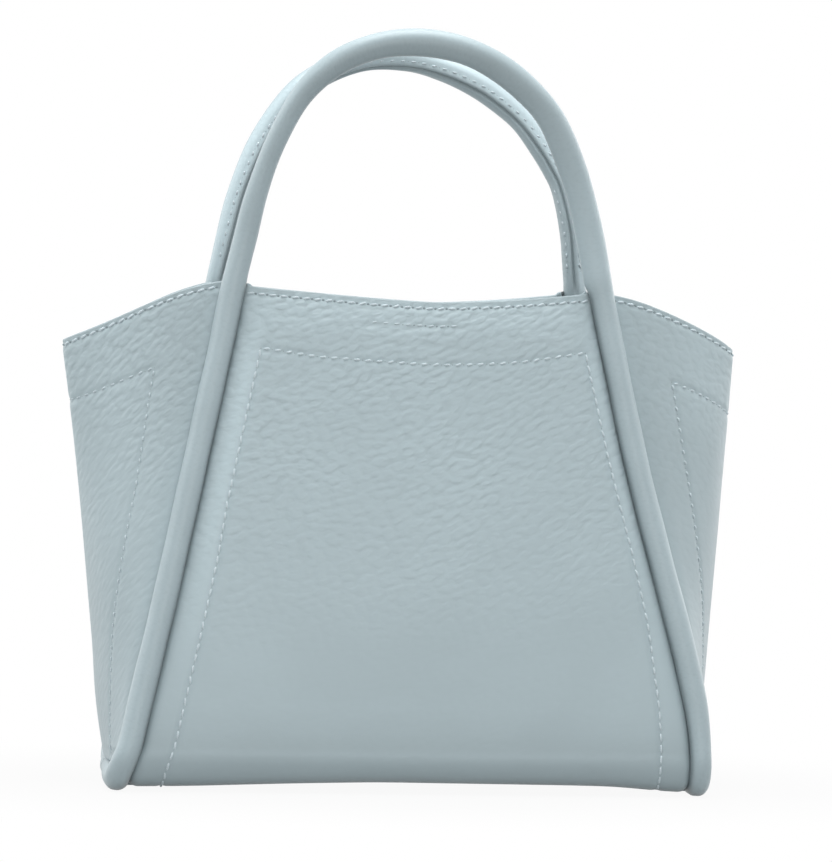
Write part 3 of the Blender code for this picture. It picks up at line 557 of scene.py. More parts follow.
def gusset_surface(side, inset=0.0, offset=0.0):
    """A side panel as a function of along, from -1 at the front to 1 at the back, and of height."""
    def flat(along, height):
        front = seam_x(side, -1, BASE_HALF_DEPTH, height)
        back = seam_x(side, 1, BASE_HALF_DEPTH, height)
        seam = (front + back) / 2 + along * (back - front) / 2
        fold = fold_x(side, height)
        share = np.clip((RIM_HEIGHT - height) / WALL_DROP, 0, 1)
        power = FOLD_SHARPNESS_TOP + share * (FOLD_SHARPNESS_BASE - FOLD_SHARPNESS_TOP)
        angle = np.arctan2(np.abs(fold - seam) * power, wall_half_depth(height))
        turned = height < TURN_CENTRE_HEIGHT
        depth = gusset_edge_depth(height)
        under = side * SOFT_BASE_BOW * np.maximum(0, 1 - (depth * along / TURN_CENTRE_DEPTH) ** 2)
        edge = np.where(turned, seam + under, seam + side * WALL_FROM_SEAM * np.sin(angle))
        depth = np.where(turned, depth, depth - WALL_FROM_SEAM * np.cos(angle))
        x = edge + (fold - edge) * (1 - np.abs(along) ** power)
        return np.stack((x, along * (depth - inset), height), -1)

    def surface(along, height):
        along, height = np.broadcast_arrays(np.asarray(along, float), np.asarray(height, float))
        step = 1e-4
        across = flat(np.minimum(along + step, 1), height) - flat(np.maximum(along - step, -1), height)
        down = flat(along, height - step) - flat(along, height + step)
        normal = unit(np.cross(across, down))
        normal = normal * np.where(normal[..., :1] * side < 0, -1, 1)
        from_edge = (1 - np.abs(along)) * gusset_edge_depth(height)
        roll = GUSSET_EDGE_ROLL * np.clip(1 - from_edge / GUSSET_EDGE_ROLL_WIDTH, 0, 1) ** 2
        roll = roll * smooth(TURN_CENTRE_HEIGHT, TURN_CENTRE_HEIGHT + GUSSET_EDGE_ROLL_RISE, height)
        slump = WING_SLUMP * np.sin(along * 5 + 1.2 * side) * np.sin(height * 31 + side)
        slump = slump * (1 - along**2) * smooth(*WING_SLUMP_HEIGHTS, height)
        return flat(along, height) + normal * (slump - roll - offset)[..., None]
    return surface


# Mesh building

def new_object(name, vertices, faces, look, uv=None, attributes=None):
    """A mesh object from vertex places and faces, with its leather coordinates and its surface values."""
    mesh = bpy.data.meshes.new(name)
    mesh.from_pydata(vertices, [], faces)
    if uv is not None:
        mesh.uv_layers.new(name="leather").data.foreach_set("uv", uv.astype(np.float32).ravel())
    for key, values in (attributes or {}).items():
        mesh.attributes.new(key, "FLOAT", "POINT").data.foreach_set("value", values.astype(np.float32))
    mesh.validate()
    mesh.shade_smooth()
    mesh.materials.append(look)
    made = bpy.data.objects.new(name, mesh)
    bpy.context.scene.collection.objects.link(made)
    return made


def flip_if_inside_out(thing):
    """Turns the faces of a closed mesh outwards."""
    shape = bmesh.new()
    shape.from_mesh(thing.data)
    if shape.calc_volume(signed=True) < 0:
        bmesh.ops.reverse_faces(shape, faces=shape.faces)
        shape.to_mesh(thing.data)
    shape.free()


def sheet_between(surface, across, start, end, rows):
    """Points of a surface from a starting to an end line across it, and the second coordinate of each."""
    second = start[:, None] + (end - start)[:, None] * np.linspace(0, 1, rows)
    return surface(np.broadcast_to(across[:, None], second.shape), second), second


def closed_sheet(name, grid, thickness, outward, look, relief=0.0, **values):
    """A sheet of even thickness about a grid of points, closed all round by a rounded edge."""
    shape = grid.shape[:2]
    across, down = np.gradient(grid, axis=0), np.gradient(grid, axis=1)
    normals = unit(np.cross(across, down))
    way = np.sign((normals * np.asarray(outward, float)).sum(-1).mean())
    normals = normals * way
    half = thickness / 2
    relief = np.broadcast_to(relief, shape)
    outer = grid + normals * (half + relief)[..., None]
    inner = grid - normals * half

    number = np.arange(shape[0] * shape[1]).reshape(shape)
    rim = np.concatenate((number[:, 0], number[-1, 1:], number[-2::-1, -1], number[0, -2:0:-1]))
    u, v = np.unravel_index(rim, shape)
    sideways = unit(across[u, v]) * ((u == shape[0] - 1).astype(float) - (u == 0))[:, None]
    along = unit(down[u, v]) * ((v == shape[1] - 1).astype(float) - (v == 0))[:, None]
    away = flattened(sideways + along, normals[u, v])
    rings = []
    for step in range(1, EDGE_STEPS + 1):
        share = step / (EDGE_STEPS + 1)
        push = half * math.cos(math.pi * share) + relief[u, v] * (1 - share)
        rings.append(grid[u, v] + normals[u, v] * push[:, None] + away * half * math.sin(math.pi * share))

    top = np.stack((number[:-1, :-1], number[1:, :-1], number[1:, 1:], number[:-1, 1:]), -1).reshape(-1, 4)
    faces = [top, top[:, [0, 3, 2, 1]] + number.size]
    edges = [np.arange(len(rim)) + 2 * number.size + step * len(rim) for step in range(EDGE_STEPS)]
    edges = [rim, *edges, rim + number.size]
    for first, second in zip(edges, edges[1:]):
        faces.append(np.stack((first, second, np.roll(second, -1), np.roll(first, -1)), -1))
    faces = np.concatenate(faces)[:, ::int(way)]

    lengths_u = running_length(grid, 0)
    place = np.stack((lengths_u - lengths_u[shape[0] // 2], running_length(grid, 1)), -1)
    places = [place.reshape(-1, 2)] * 2
    places += [place[u, v] + (0.0, EDGE_TEXTURE_STEP * (step + 1)) for step in range(EDGE_STEPS)]
    vertices = np.concatenate([outer.reshape(-1, 3), inner.reshape(-1, 3)] + rings)
    per_vertex = {}
    for key, value in {"grain": 1.0, "wear": 0.0, "shade": 0.0, **values}.items():
        value = np.broadcast_to(value, shape).astype(float)
        per_vertex[key] = np.concatenate([value.ravel()] * 2 + [value[u, v]] * EDGE_STEPS)
    return new_object(name, vertices, faces, look, np.concatenate(places)[faces.ravel()], per_vertex)


def rings_round(path, first, second, radius, angle):
    """Rings of points round a path; the radius and the angle may differ from ring to ring."""
    radius, angle = np.broadcast_arrays(radius, angle)
    ring = first[:, None] * np.cos(angle)[..., None] + second[:, None] * np.sin(angle)[..., None]
    return path[:, None] + ring * radius[..., None]


def tube_faces(count, sides, start=0):
    """The faces between rings of points, one after another."""
    first = start + sides * np.arange(count - 1)[:, None] + np.arange(sides)
    after = np.roll(first, -1, axis=1)
    return np.stack((first, after, after + sides, first + sides), -1).reshape(-1, 4)


def capped_faces(count, sides):
    """The same, closed by a face at each end."""
    faces = [list(face) for face in tube_faces(count, sides)]
    return faces + [list(range(sides))[::-1], list(range((count - 1) * sides, count * sides))]


# Handles and seam tubes

def even_path(points, step):
    """The same path with even steps of about the given length."""
    lengths = running_length(points)
    count = max(2, round(lengths[-1] / step) + 1)
    return read_at(np.linspace(0, lengths[-1], count), lengths, points)


def curve_through(points, steps=16):
    """A Catmull-Rom curve through the points."""
    padded = np.concatenate(([2 * points[0] - points[1]], points, [2 * points[-1] - points[-2]]))
    t = np.linspace(0, 1, steps, endpoint=False)[:, None]
    spans = []
    for a, b, c, d in zip(padded, padded[1:], padded[2:], padded[3:]):
        bend = (2 * a - 5 * b + 4 * c - d) * t**2 + (3 * b - a - 3 * c + d) * t**3
        spans.append(0.5 * (2 * b + (c - a) * t + bend))
    return np.concatenate(spans + [points[-1:]])


def arch_points(facing):
    """The centre line of one handle, from its left leg at the rim to its right leg."""
    x, height = np.array(ARCH[facing]).T
    rise = np.maximum(0.0, (height - RIM_HEIGHT) / HANDLE_RISE)
    depth = RIM_HALF_DEPTH + HANDLE_LEAN * rise**HANDLE_LEAN_POWER
    return curve_through(np.stack((x, facing * depth, height), -1))


def seam_points(side, facing):
    """The centre line of a seam tube, from the rim down and under the base to mid depth."""
    depth, height = seam_depth_height(np.linspace(0, SEAM_LENGTH - 0.0001, 180))
    return np.stack((seam_x(side, facing, depth, height), facing * depth, height), -1)


def tube_line(facing):
    """The centre line of one tube: up the left seam, over the handle and down the right seam."""
    left = seam_points(-1, facing)[::-1]
    path = even_path(np.concatenate((left[:-1], arch_points(facing), seam_points(1, facing)[1:])), PATH_STEP)
    bend = np.abs(path[1:-1, 2] - RIM_HEIGHT) < RIM_BEND_REACH
    for _ in range(RIM_BEND_PASSES):
        middle = (path[:-2] + 2 * path[1:-1] + path[2:]) / 4
        path[1:-1][bend] = middle[bend]
    return path


def tube_frame(path, facing):
    """Two directions across the tube: towards the other handle, and away from the inside of the arch.

    They turn as little as possible from the middle of the path outwards.
    """
    tangents = unit(np.gradient(path, axis=0))
    inward = np.zeros_like(path)
    middle = len(path) // 2
    for order in (range(middle, len(path)), range(middle, -1, -1)):
        side = np.array((0.0, -facing, 0.0))
        for index in order:
            side = side - (side @ tangents[index]) * tangents[index]
            side = side / np.linalg.norm(side)
            inward[index] = side
    return inward, -facing * np.cross(tangents, inward)


def above_rim(path):
    """1 where the path is a handle's, 0 where it is a seam's."""
    return smooth(*HANDLE_STARTS, path[:, 2])


def swell_tube(rings, path, outward, facing):
    """The rings of a tube made thicker or thinner on their inner and outer sides."""
    away = ((rings - path[:, None]) * outward[:, None]).sum(-1)
    inner = above_rim(path) * eased(path[:, 0], INNER_SWELL[facing], TUBE_EASE) / TUBE_RADIUS
    outer = above_rim(path) * eased(path[:, 0], OUTER_SWELL[facing], TUBE_EASE) / TUBE_RADIUS
    share = np.where(away < 0, inner[:, None], outer[:, None])
    return rings + outward[:, None] * (away * share)[..., None]


def cover_shade(path, facing, turn, around):
    """The shade of a tube's cover: its lap, its seam's crease, and the handle as the photograph shows it."""
    # Painted shade in the lap, the crease and below the front crown; below zero it is painted light
    above = above_rim(path)[:, None]
    shade = LAP_SHADE * above * hump(turn, LAP_SHADE_WIDTH)
    if facing < 0:
        height = path[:, 2:]
        crown = CROWN_SHADE * smooth(0.55, -0.1, np.sin(around)) * smooth(*CROWN_HEIGHTS, height)
        right_leg = (path[:, :1] > 0) * smooth(*LEG_LIGHT_FROM_CROWN, height)
        right_leg = right_leg * smooth(RIM_HEIGHT, RIM_HEIGHT + LEG_LIGHT_ABOVE_RIM, height)
        shade = shade + crown - LEG_LIGHT * right_leg
    else:
        shade = shade - BACK_LAP_LIGHT * above * smooth(0.25, 0.55, turn) * smooth(2.2, 1.4, turn)
    crease = hump(wrapped(around - SEAM_CREASE_ANGLE), CREASE_SHADE_WIDTH)
    return shade + CREASE_SHADE * (1 - above) * crease


def build_tube(name, facing):
    """The cover and the core of one handle and the seams that it carries on into, and the cover's path."""
    path = tube_line(facing)
    inward, outward = tube_frame(path, facing)
    lap = np.radians(eased(path[:, 0], LAP_TURN[facing], TUBE_EASE))
    along = (np.arange(len(path)) * PATH_STEP)[:, None]
    fine = np.linspace(-LAP_HALF_ANGLE, LAP_HALF_ANGLE, LAP_FINE_STEPS)
    coarse = np.linspace(LAP_HALF_ANGLE, 2 * math.pi - LAP_HALF_ANGLE, TUBE_SIDES - LAP_FINE_STEPS + 2)
    offset = np.concatenate((fine, coarse[1:-1]))
    turn = wrapped(offset)
    around = lap[:, None] + offset
    stitch_groove = HANDLE_STITCH_DENT * hump(turn - HANDLE_STITCH_TURN, HANDLE_STITCH_DENT_WIDTH)
    groove = LAP_DEPTH * hump(turn, LAP_WIDTH) + stitch_groove
    swell = LAP_SWELL * hump(np.abs(turn) - LAP_SWELL_TURN, LAP_SWELL_WIDTH)
    uneven = 0.00007 * np.sin(along * 190 + 2 * np.cos(around)) + 0.00006 * np.sin(along * 83 + around)
    pressed = squeeze(path[:, :1], path[:, 2:])
    path = path - pressed * np.array((0.0, 0.0, 1.0)) * smooth(*PRESSED_DOWN_HEIGHTS, path[:, 2:])
    lining_radius = TUBE_RADIUS - pressed - COVER_THICKNESS

    def rings(radius, angle):
        return swell_tube(rings_round(path, inward, outward, radius, angle), path, outward, facing)

    outer = rings(TUBE_RADIUS - pressed + above_rim(path)[:, None] * (swell - groove) + uneven, around)
    outer[..., 2] = np.maximum(outer[..., 2], 0.0)
    count, sides = around.shape
    total = count * sides
    ring = np.arange(sides)
    first = np.stack((ring, ring + total, np.roll(ring, -1) + total, np.roll(ring, -1)), -1)
    last = first[:, [0, 3, 2, 1]] + total - sides
    faces = np.concatenate((tube_faces(count, sides), tube_faces(count, sides, total)[:, ::-1], first, last))
    girth = np.append(offset, offset[0] + 2 * math.pi) * TUBE_RADIUS
    row, column = np.divmod(faces % total, sides)
    wraps = column.max(1) - column.min(1) > 1
    column = np.where(wraps[:, None] & (column == 0), sides, column)
    uv = np.stack((girth[column], row * PATH_STEP), -1).reshape(-1, 2)
    plain = np.zeros(total)
    attributes = {
        "wear": np.append(np.repeat(smooth(*CROWN_HEIGHTS, path[:, 2]), sides) * CROWN_WEAR, plain),
        "grain": np.ones(2 * total),
        "shade": np.append(cover_shade(path, facing, turn, around), plain),
    }
    vertices = np.concatenate((outer.reshape(-1, 3), rings(lining_radius, around).reshape(-1, 3)))
    cover = new_object(name + "_tube_leather", vertices, faces, LOOKS["tube"], uv, attributes)
    flip_if_inside_out(cover)

    core_angles = np.linspace(0, 2 * math.pi, CORE_SIDES, endpoint=False)
    core_places = rings(lining_radius - CLEARANCE, core_angles).reshape(-1, 3)
    core = new_object(name + "_tube_core", core_places, capped_faces(count, CORE_SIDES), LOOKS["core"])
    flip_if_inside_out(core)
    return cover, core, path, inward, outward, lap


# Stitching

def stitch_template(radius, steps=9, sides=8):
    """One stitch as rings about its length: places as shares of length, and widths and heights in metres."""
    share = np.linspace(-0.5, 0.5, steps)[:, None]
    angle = np.linspace(0, 2 * math.pi, sides, endpoint=False)
    girth = radius * (1 - (2 * np.abs(share)) ** 4 * 0.65)
    lift = radius * (0.45 - 1.5 * (2 * np.abs(share)) ** 3)
    return share + 0 * angle, girth * np.cos(angle) * 1.15, lift + girth * np.sin(angle)


def hole_shade_template(radius, sides=10):
    """A needle hole's painted shade: a small dark dome that stands a hair above the leather."""
    rings = ((1.0, -0.00010), (0.96, 0.00001), (0.70, 0.00005), (0.25, 0.00006))
    share, height = np.array(rings).T[..., None]
    angle = np.linspace(0, 2 * math.pi, sides, endpoint=False)
    return radius * 1.15 * share * np.cos(angle), radius * share * np.sin(angle), height + 0 * angle


def placed_copies(name, template, places, tangents, normals, length, look):
    """One mesh of all the copies of a stitch or hole in a set of rows."""
    along, sideways, up = (part.ravel()[None, :, None] for part in template)
    points = places[:, None] + along * length * tangents[:, None]
    points = points + sideways * np.cross(normals, tangents)[:, None] + up * normals[:, None]
    faces = capped_faces(*template[0].shape)
    every = []
    for start in range(0, template[0].size * len(places), template[0].size):
        every += [[corner + start for corner in face] for face in faces]
    made = new_object(name, points.reshape(-1, 3), every, look)
    flip_if_inside_out(made)
    return made


def stitch_rows(name, lines, weight, seed):
    """Stitches and their needle holes' painted shade, along lines of points on a surface with the surface's
    normals.
    """
    length, thread_radius, hole_radius, slant, thread_look, hole_shade_look = weight
    random = np.random.default_rng(seed)
    threads, holes = [], []
    for points, normals in lines:
        lengths = running_length(points)
        count = max(1, round(lengths[-1] / STITCH_PITCH))
        marks = np.linspace(0, lengths[-1], count + 1)
        for wanted, kept in (((marks[1:] + marks[:-1]) / 2, threads), (marks, holes)):
            normal = unit(read_at(wanted, lengths, normals))
            ahead = read_at(np.minimum(wanted + 0.0005, lengths[-1]), lengths, points)
            behind = read_at(np.maximum(wanted - 0.0005, 0), lengths, points)
            tangent = flattened(unit(ahead - behind), normal)
            if kept is threads:
                turn = np.radians(random.normal(slant, STITCH_SLANT_SPREAD, len(wanted)))[:, None]
                tangent = tangent * np.cos(turn) + np.cross(normal, tangent) * np.sin(turn)
            kept.append((read_at(wanted, lengths, points), tangent, normal))
    threads, holes = ([np.concatenate(part) for part in zip(*kept)] for kept in (threads, holes))
    return (
        placed_copies(name + "_thread", stitch_template(thread_radius), *threads, length, LOOKS[thread_look]),
        placed_copies(name + "_needle_holes", hole_shade_template(hole_radius), *holes, 1.0, LOOKS[hole_shade_look]),
    )


def surface_line(surface, first, second, lift, outward=None):
    """Points and normals a given height above a surface, along two lists of its coordinates."""
    step = 2e-4
    here = surface(first, second)
    across = surface(first + step * 8, second) - surface(first - step * 8, second)
    down = surface(first, second + step) - surface(first, second - step)
    normal = unit(np.cross(across, down))
    if outward is None:
        outward = here * np.array((1.0, 1.0, 0.0)) + np.array((0, 0, -0.001))
    normal = normal * np.sign((normal * outward).sum(-1, keepdims=True))
    return here + normal * lift, normal


def panel_slant(side, facing, distance):
    """The slanted line's place across the panel, from -1 to 1, at distances from the rim."""
    depth, height = seam_depth_height(distance)
    left, right = panel_edges(facing, distance)
    x = seam_x(side, facing, depth, height) - side * panel_slant_offset(side, facing, height)
    return (2 * x - left - right) / (right - left)


def panel_stitch_lines(facing):
    """The panel's rim, hem and two slanted stitch lines, as pairs of across and distance lists."""
    across = np.linspace(-RIM_STITCH_REACH, RIM_STITCH_REACH, 160)
    lines = [(across, rim_dip(across) + RIM_STITCH_DROP)]
    across = np.linspace(*(float(panel_slant(side, facing, FACING_STITCH_DROP)) for side in (-1, 1)), 140)
    hem = HEM_DIP_SHARE * rim_dip(across) + FACING_STITCH_DROP - HEM_RISE * smooth(0.2, 1, across)
    hem = hem + HEM_SAG * smooth(-0.85, -0.5, across) * smooth(0.95, 0.5, across)
    lines.append((across, hem))
    for side, start in ((-1, hem[0]), (1, hem[-1])):
        distance = np.linspace(start, TURN_END + 0.0005, 260)
        lines.append((panel_slant(side, facing, distance), distance))
    return lines


def wing_slant(side, facing, height):
    """Where the wing's slanted line is along the side panel, from its distance to the seam tube in plan."""
    surface = gusset_surface(side)
    along = facing * np.linspace(1.0, 0.02, 60)
    places = []
    for one, gap in zip(height, profile(height, WING_SLANT_GAP[side])):
        seam = (float(seam_x(side, facing, BASE_HALF_DEPTH, one)), facing * float(wall_half_depth(one)))
        away = np.linalg.norm(surface(along, one)[:, :2] - seam, axis=1)
        places.append(np.interp(gap, away, along * facing) * facing)
    return np.array(places)


def wing_stitch_lines(side):
    """The side panel's stitch lines as pairs of along and height lists, the rim's first."""
    along = np.linspace(-WING_RIM_STITCH_REACH, WING_RIM_STITCH_REACH, 300)
    lines = [(along, wing_top(side, along) - WING_RIM_STITCH_DROP)]
    at_fold, at_slant = WING_FACING_STITCH_DROP[side]
    height = np.linspace(0.012, 0.150, 60)
    for facing in (-1, 1):
        slant = wing_slant(side, facing, height)
        start = float(np.interp(0.0, height - (wing_top(side, slant) - at_slant), height))
        top = float(np.interp(start, height, slant))
        down = np.linspace(start, WING_STITCH_FOOT, 160)
        lines.append((np.interp(down, height, slant), down))
        along = np.linspace(top, 0.0, 100)[::-facing]
        lines.append((along, wing_top(side, along) - at_fold - (at_slant - at_fold) * along / top))
    return lines


def dent_relief(points, lines):
    """How far the leather is drawn in beside stitch lines, for a grid of points."""
    relief = np.zeros(points.shape[:2])
    reach = 4 * STITCH_GROOVE_WIDTH
    for line in lines:
        inside = ((points > line.min(0) - reach) & (points < line.max(0) + reach)).all(-1)
        near = points[inside]
        least = np.ones(len(near))
        for start in range(0, len(line), 40):
            gaps = np.linalg.norm(near[:, None] - line[None, start:start + 40], axis=-1)
            least = np.minimum(least, gaps.min(1))
        relief[inside] = np.minimum(relief[inside], -STITCH_GROOVE * hump(least, STITCH_GROOVE_WIDTH))
    return relief


# Materials

def add(tree, kind, **settings):
    """A new shader node; a setting that starts with in_ is an input's value."""
    node = tree.nodes.new("ShaderNode" + kind)
    for key, value in settings.items():
        if key.startswith("in_"):
            node.inputs[key[3:].replace("_", " ")].default_value = value
        else:
            setattr(node, key, value)
    return node


def maths(tree, operation, *values, kind="Math"):
    """The result of a maths node; each value is a number, a vector or another node's socket."""
    node = add(tree, kind, operation=operation)
    for socket, value in zip(node.inputs, values):
        if isinstance(value, bpy.types.NodeSocket):
            tree.links.new(value, socket)
        else:
            socket.default_value = value
    return node.outputs["Value" if operation == "LENGTH" or kind == "Math" else "Vector"]


def map_range(tree, value, low, high, to_low, to_high):
    node = add(tree, "MapRange", interpolation_type="SMOOTHSTEP", in_From_Min=low, in_From_Max=high,
               in_To_Min=to_low, in_To_Max=to_high)
    tree.links.new(value, node.inputs["Value"])
    return node.outputs["Result"]


def texture(tree, kind, place, **settings):
    """A node that is read at the given place."""
    node = add(tree, kind, **settings)
    tree.links.new(place, node.inputs["Vector"])
    return node


def tint(tree, shader, colour, factor):
    """Gives the shader a colour times a factor that varies over the surface."""
    node = add(tree, "Mix", data_type="RGBA", blend_type="MULTIPLY", in_Factor=1.0, in_A=(*colour, 1.0))
    tree.links.new(factor, node.inputs["B"])
    tree.links.new(node.outputs["Result"], shader.inputs["Base Color"])


def emboss(tree, shader, height, distance, strength):
    """Raises the surface by a height that varies over it."""
    node = add(tree, "Bump", in_Strength=strength, in_Distance=distance)
    tree.links.new(height, node.inputs["Height"])
    tree.links.new(node.outputs["Normal"], shader.inputs["Normal"])


def material(name, **finish):
    """A new material, its node tree, and its shader with the finish set on the shader's own inputs."""
    made = bpy.data.materials.new(name)
    made.use_nodes = True
    shader = made.node_tree.nodes["Principled BSDF"]
    for key, value in finish.items():
        shader.inputs[key.replace("_", " ")].default_value = value
    return made, made.node_tree, shader


def leather(name, colour, cell, turn, bump, roughness, sheen, fine=0.14):
    """Pebbled leather; cell is a pebble's length and width in metres, turn its angle."""
    made, tree, shader = material(name, Specular_IOR_Level=0.42, Sheen_Weight=sheen, Sheen_Roughness=0.45)
    place = add(tree, "UVMap", uv_map="leather").outputs["UV"]
    bend = texture(tree, "TexNoise", place, in_Scale=45.0, in_Detail=1.0).outputs["Color"]
    bent = maths(tree, "MULTIPLY_ADD", bend, (0.0026, 0.0026, 0), place, kind="VectorMath")
    turned = texture(tree, "VectorRotate", bent, rotation_type="Z_AXIS", in_Angle=turn).outputs[0]
    cells = maths(tree, "MULTIPLY", turned, (1 / cell[0], 1 / cell[1], 1), kind="VectorMath")

    away = texture(tree, "TexVoronoi", cells, voronoi_dimensions="2D", feature="SMOOTH_F1", in_Scale=1.0,
                   in_Smoothness=0.7, in_Randomness=0.75).outputs["Distance"]
    dome = map_range(tree, maths(tree, "MULTIPLY", away, away), 0.0, 0.36, 1.0, 0.0)
    folds, small, patches = (
        texture(tree, "TexNoise", cells, noise_dimensions="2D", in_Scale=scale, in_Detail=detail).outputs[0]
        for scale, detail in ((1.0, 0.0), (2.7, 1.0), (0.09, 2.0))
    )
    ridge = map_range(tree, folds, 0.28, 0.66, 0.0, 1.0)
    dome = maths(tree, "MULTIPLY_ADD", dome, 0.6, maths(tree, "MULTIPLY", ridge, 0.5))
    # The shade value darkens the colour: painted shade, the darker cut rim, and painted light below zero; the wear
    # value lightens and smooths the leather, for real wear and as painted light
    grain, wear, shade = (
        add(tree, "Attribute", attribute_name=key).outputs["Fac"] for key in ("grain", "wear", "shade")
    )
    strength = maths(tree, "MULTIPLY", map_range(tree, patches, 0.35, 0.65, 0.75, 1.0), grain)
    height = maths(tree, "MULTIPLY", maths(tree, "MULTIPLY_ADD", small, fine, dome), strength)
    emboss(tree, shader, height, bump, 1.0)

    valley = maths(tree, "MULTIPLY", map_range(tree, dome, 0.0, 0.7, -0.035, 0.0), strength)
    tone = map_range(tree, patches, 0.3, 0.7, 0.985, 1.015)
    worn_and_lit = maths(tree, "ADD", maths(tree, "MULTIPLY_ADD", wear, 0.06, tone), valley)
    tint(tree, shader, colour, maths(tree, "MULTIPLY_ADD", shade, -0.62, worn_and_lit))
    rough = maths(tree, "MULTIPLY_ADD", valley, -0.8, roughness)
    tree.links.new(maths(tree, "MULTIPLY_ADD", wear, -0.02, rough), shader.inputs["Roughness"])
    return made


def cloth(name, colour):
    """Plain woven lining."""
    made, tree, shader = material(name, Roughness=0.85, Sheen_Weight=0.25)
    place = add(tree, "UVMap", uv_map="leather").outputs["UV"]
    warp, weft = (
        texture(tree, "TexWave", place, wave_type="BANDS", bands_direction=direction, in_Scale=560.0,
                in_Distortion=0.4).outputs["Fac"]
        for direction in ("X", "Y")
    )
    height = maths(tree, "MAXIMUM", warp, weft)
    emboss(tree, shader, height, 0.00012, 0.6)
    tint(tree, shader, colour, map_range(tree, height, 0.0, 1.0, 0.86, 1.04))
    return made


def thread(name, colour):
    """Waxed thread with a twist."""
    made, tree, shader = material(name, Roughness=0.55)
    twist = texture(tree, "TexWave", add(tree, "TexCoord").outputs["Object"], wave_type="BANDS",
                    bands_direction="DIAGONAL", in_Scale=900.0, in_Distortion=1.0).outputs["Fac"]
    emboss(tree, shader, twist, 0.00005, 0.4)
    tint(tree, shader, colour, map_range(tree, twist, 0.0, 1.0, 0.93, 1.03))
    return made


def mottled(name, colour, scale, spread, roughness, metallic=0.0, bump=0.0001):
    """A solid material with slight changes of tone and roughness."""
    made, tree, shader = material(name, Metallic=metallic)
    place = add(tree, "TexCoord").outputs["Object"]
    noise = texture(tree, "TexNoise", place, in_Scale=scale, in_Detail=4.0).outputs["Fac"]
    tint(tree, shader, colour, map_range(tree, noise, 0.3, 0.7, 1 - spread, 1 + spread))
    rough = map_range(tree, noise, 0.3, 0.7, roughness * 0.85, min(1.0, roughness * 1.15))
    tree.links.new(rough, shader.inputs["Roughness"])
    emboss(tree, shader, noise, bump, 0.3)
    return made


LOOKS = {
    "panel": leather("pebbled_leather", LEATHER, (0.0042, 0.0024), math.radians(22), 0.00020, 0.50, 0.10),
    "left_wing": leather("pebbled_leather_left_wing", LEATHER, (0.0038, 0.0026), math.radians(-26), 0.00018,
                         0.50, 0.10),
    "right_wing": leather("pebbled_leather_right_wing", LEATHER, (0.0036, 0.0026), math.radians(20), 0.00008,
                          0.50, 0.10),
    "tube": leather("tube_leather", TUBE_LEATHER, (0.0016, 0.0012), 0.3, 0.00002, 0.42, 0.05, fine=0.6),
    "facing": leather("facing_leather", LEATHER, (0.0034, 0.0016), 0.0, 0.00008, 0.52, 0.08),
    "lining": cloth("lining_cloth", LINING),
    "thread": thread("stitching_thread", THREAD),
    "soft_thread": thread("fine_stitching_thread", SOFT_THREAD),
    # Painted shade for the needle holes
    "hole": mottled("needle_hole", HOLE_SHADE, 900.0, 0.08, 0.7),
    "soft_hole": mottled("fine_needle_hole", SOFT_HOLE_SHADE, 900.0, 0.08, 0.7),
    "core": mottled("tube_core", CORE, 600.0, 0.06, 0.9),
    "board": mottled("base_board", BOARD, 300.0, 0.10, 0.9),
    "metal": mottled("snap_metal", METAL, 700.0, 0.04, 0.28, metallic=1.0, bump=0.00002),
}


# The bag's pieces

def put(thing, body, slot, *nodes):
    """Attaches a piece to its body unless it is blended, and hides the solids that it stands for; the slot is not
    used.
    """
    if body:
        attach(thing, body)
    if nodes:
        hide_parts(*nodes)


def sew(name, lines, weight, seed, slot="pebbled_leather", body="bag"):
    """Rows of stitches that ride on a body."""
    for thing in stitch_rows(name, lines, weight, seed):
        put(thing, body, slot)


def build_wall(node, surface, grid, below_rim, paths, outward, look, dent, shade, **values):
    """The leather of a panel or a wing, pressed in at its rim and stitch lines; gives the places of these."""
    relief = dent_relief(grid, [surface(*path) for path in paths])
    relief = relief - RIM_PRESS * smooth(*RIM_PRESS_REACH, below_rim)
    shade = shade + RIM_DARKENING * smooth(*RIM_DARKENING_REACH, below_rim)
    wall = closed_sheet(node + "_leather", grid, LEATHER_THICKNESS, outward, LOOKS[look], relief - dent,
                        shade=shade, **values)
    put(wall, "bag", "pebbled_leather", node)
    return [surface_line(surface, *path, STITCH_LIFT) for path in paths]


def tab_dent(grid):
    """The shallow band where the closing tab is sewn behind the front panel."""
    below = RIM_HEIGHT - RIM_DIP - grid[..., 2]
    from_middle = np.abs(grid[..., 0] - TAB_STITCH_MIDDLE)
    band = smooth(TAB_STITCH_HALF + TAB_DENT_SOFTNESS, TAB_STITCH_HALF - TAB_DENT_SOFTNESS, from_middle)
    return TAB_DENT * band * hump(below - TAB_STITCH_DROP, STITCH_GROOVE_WIDTH)


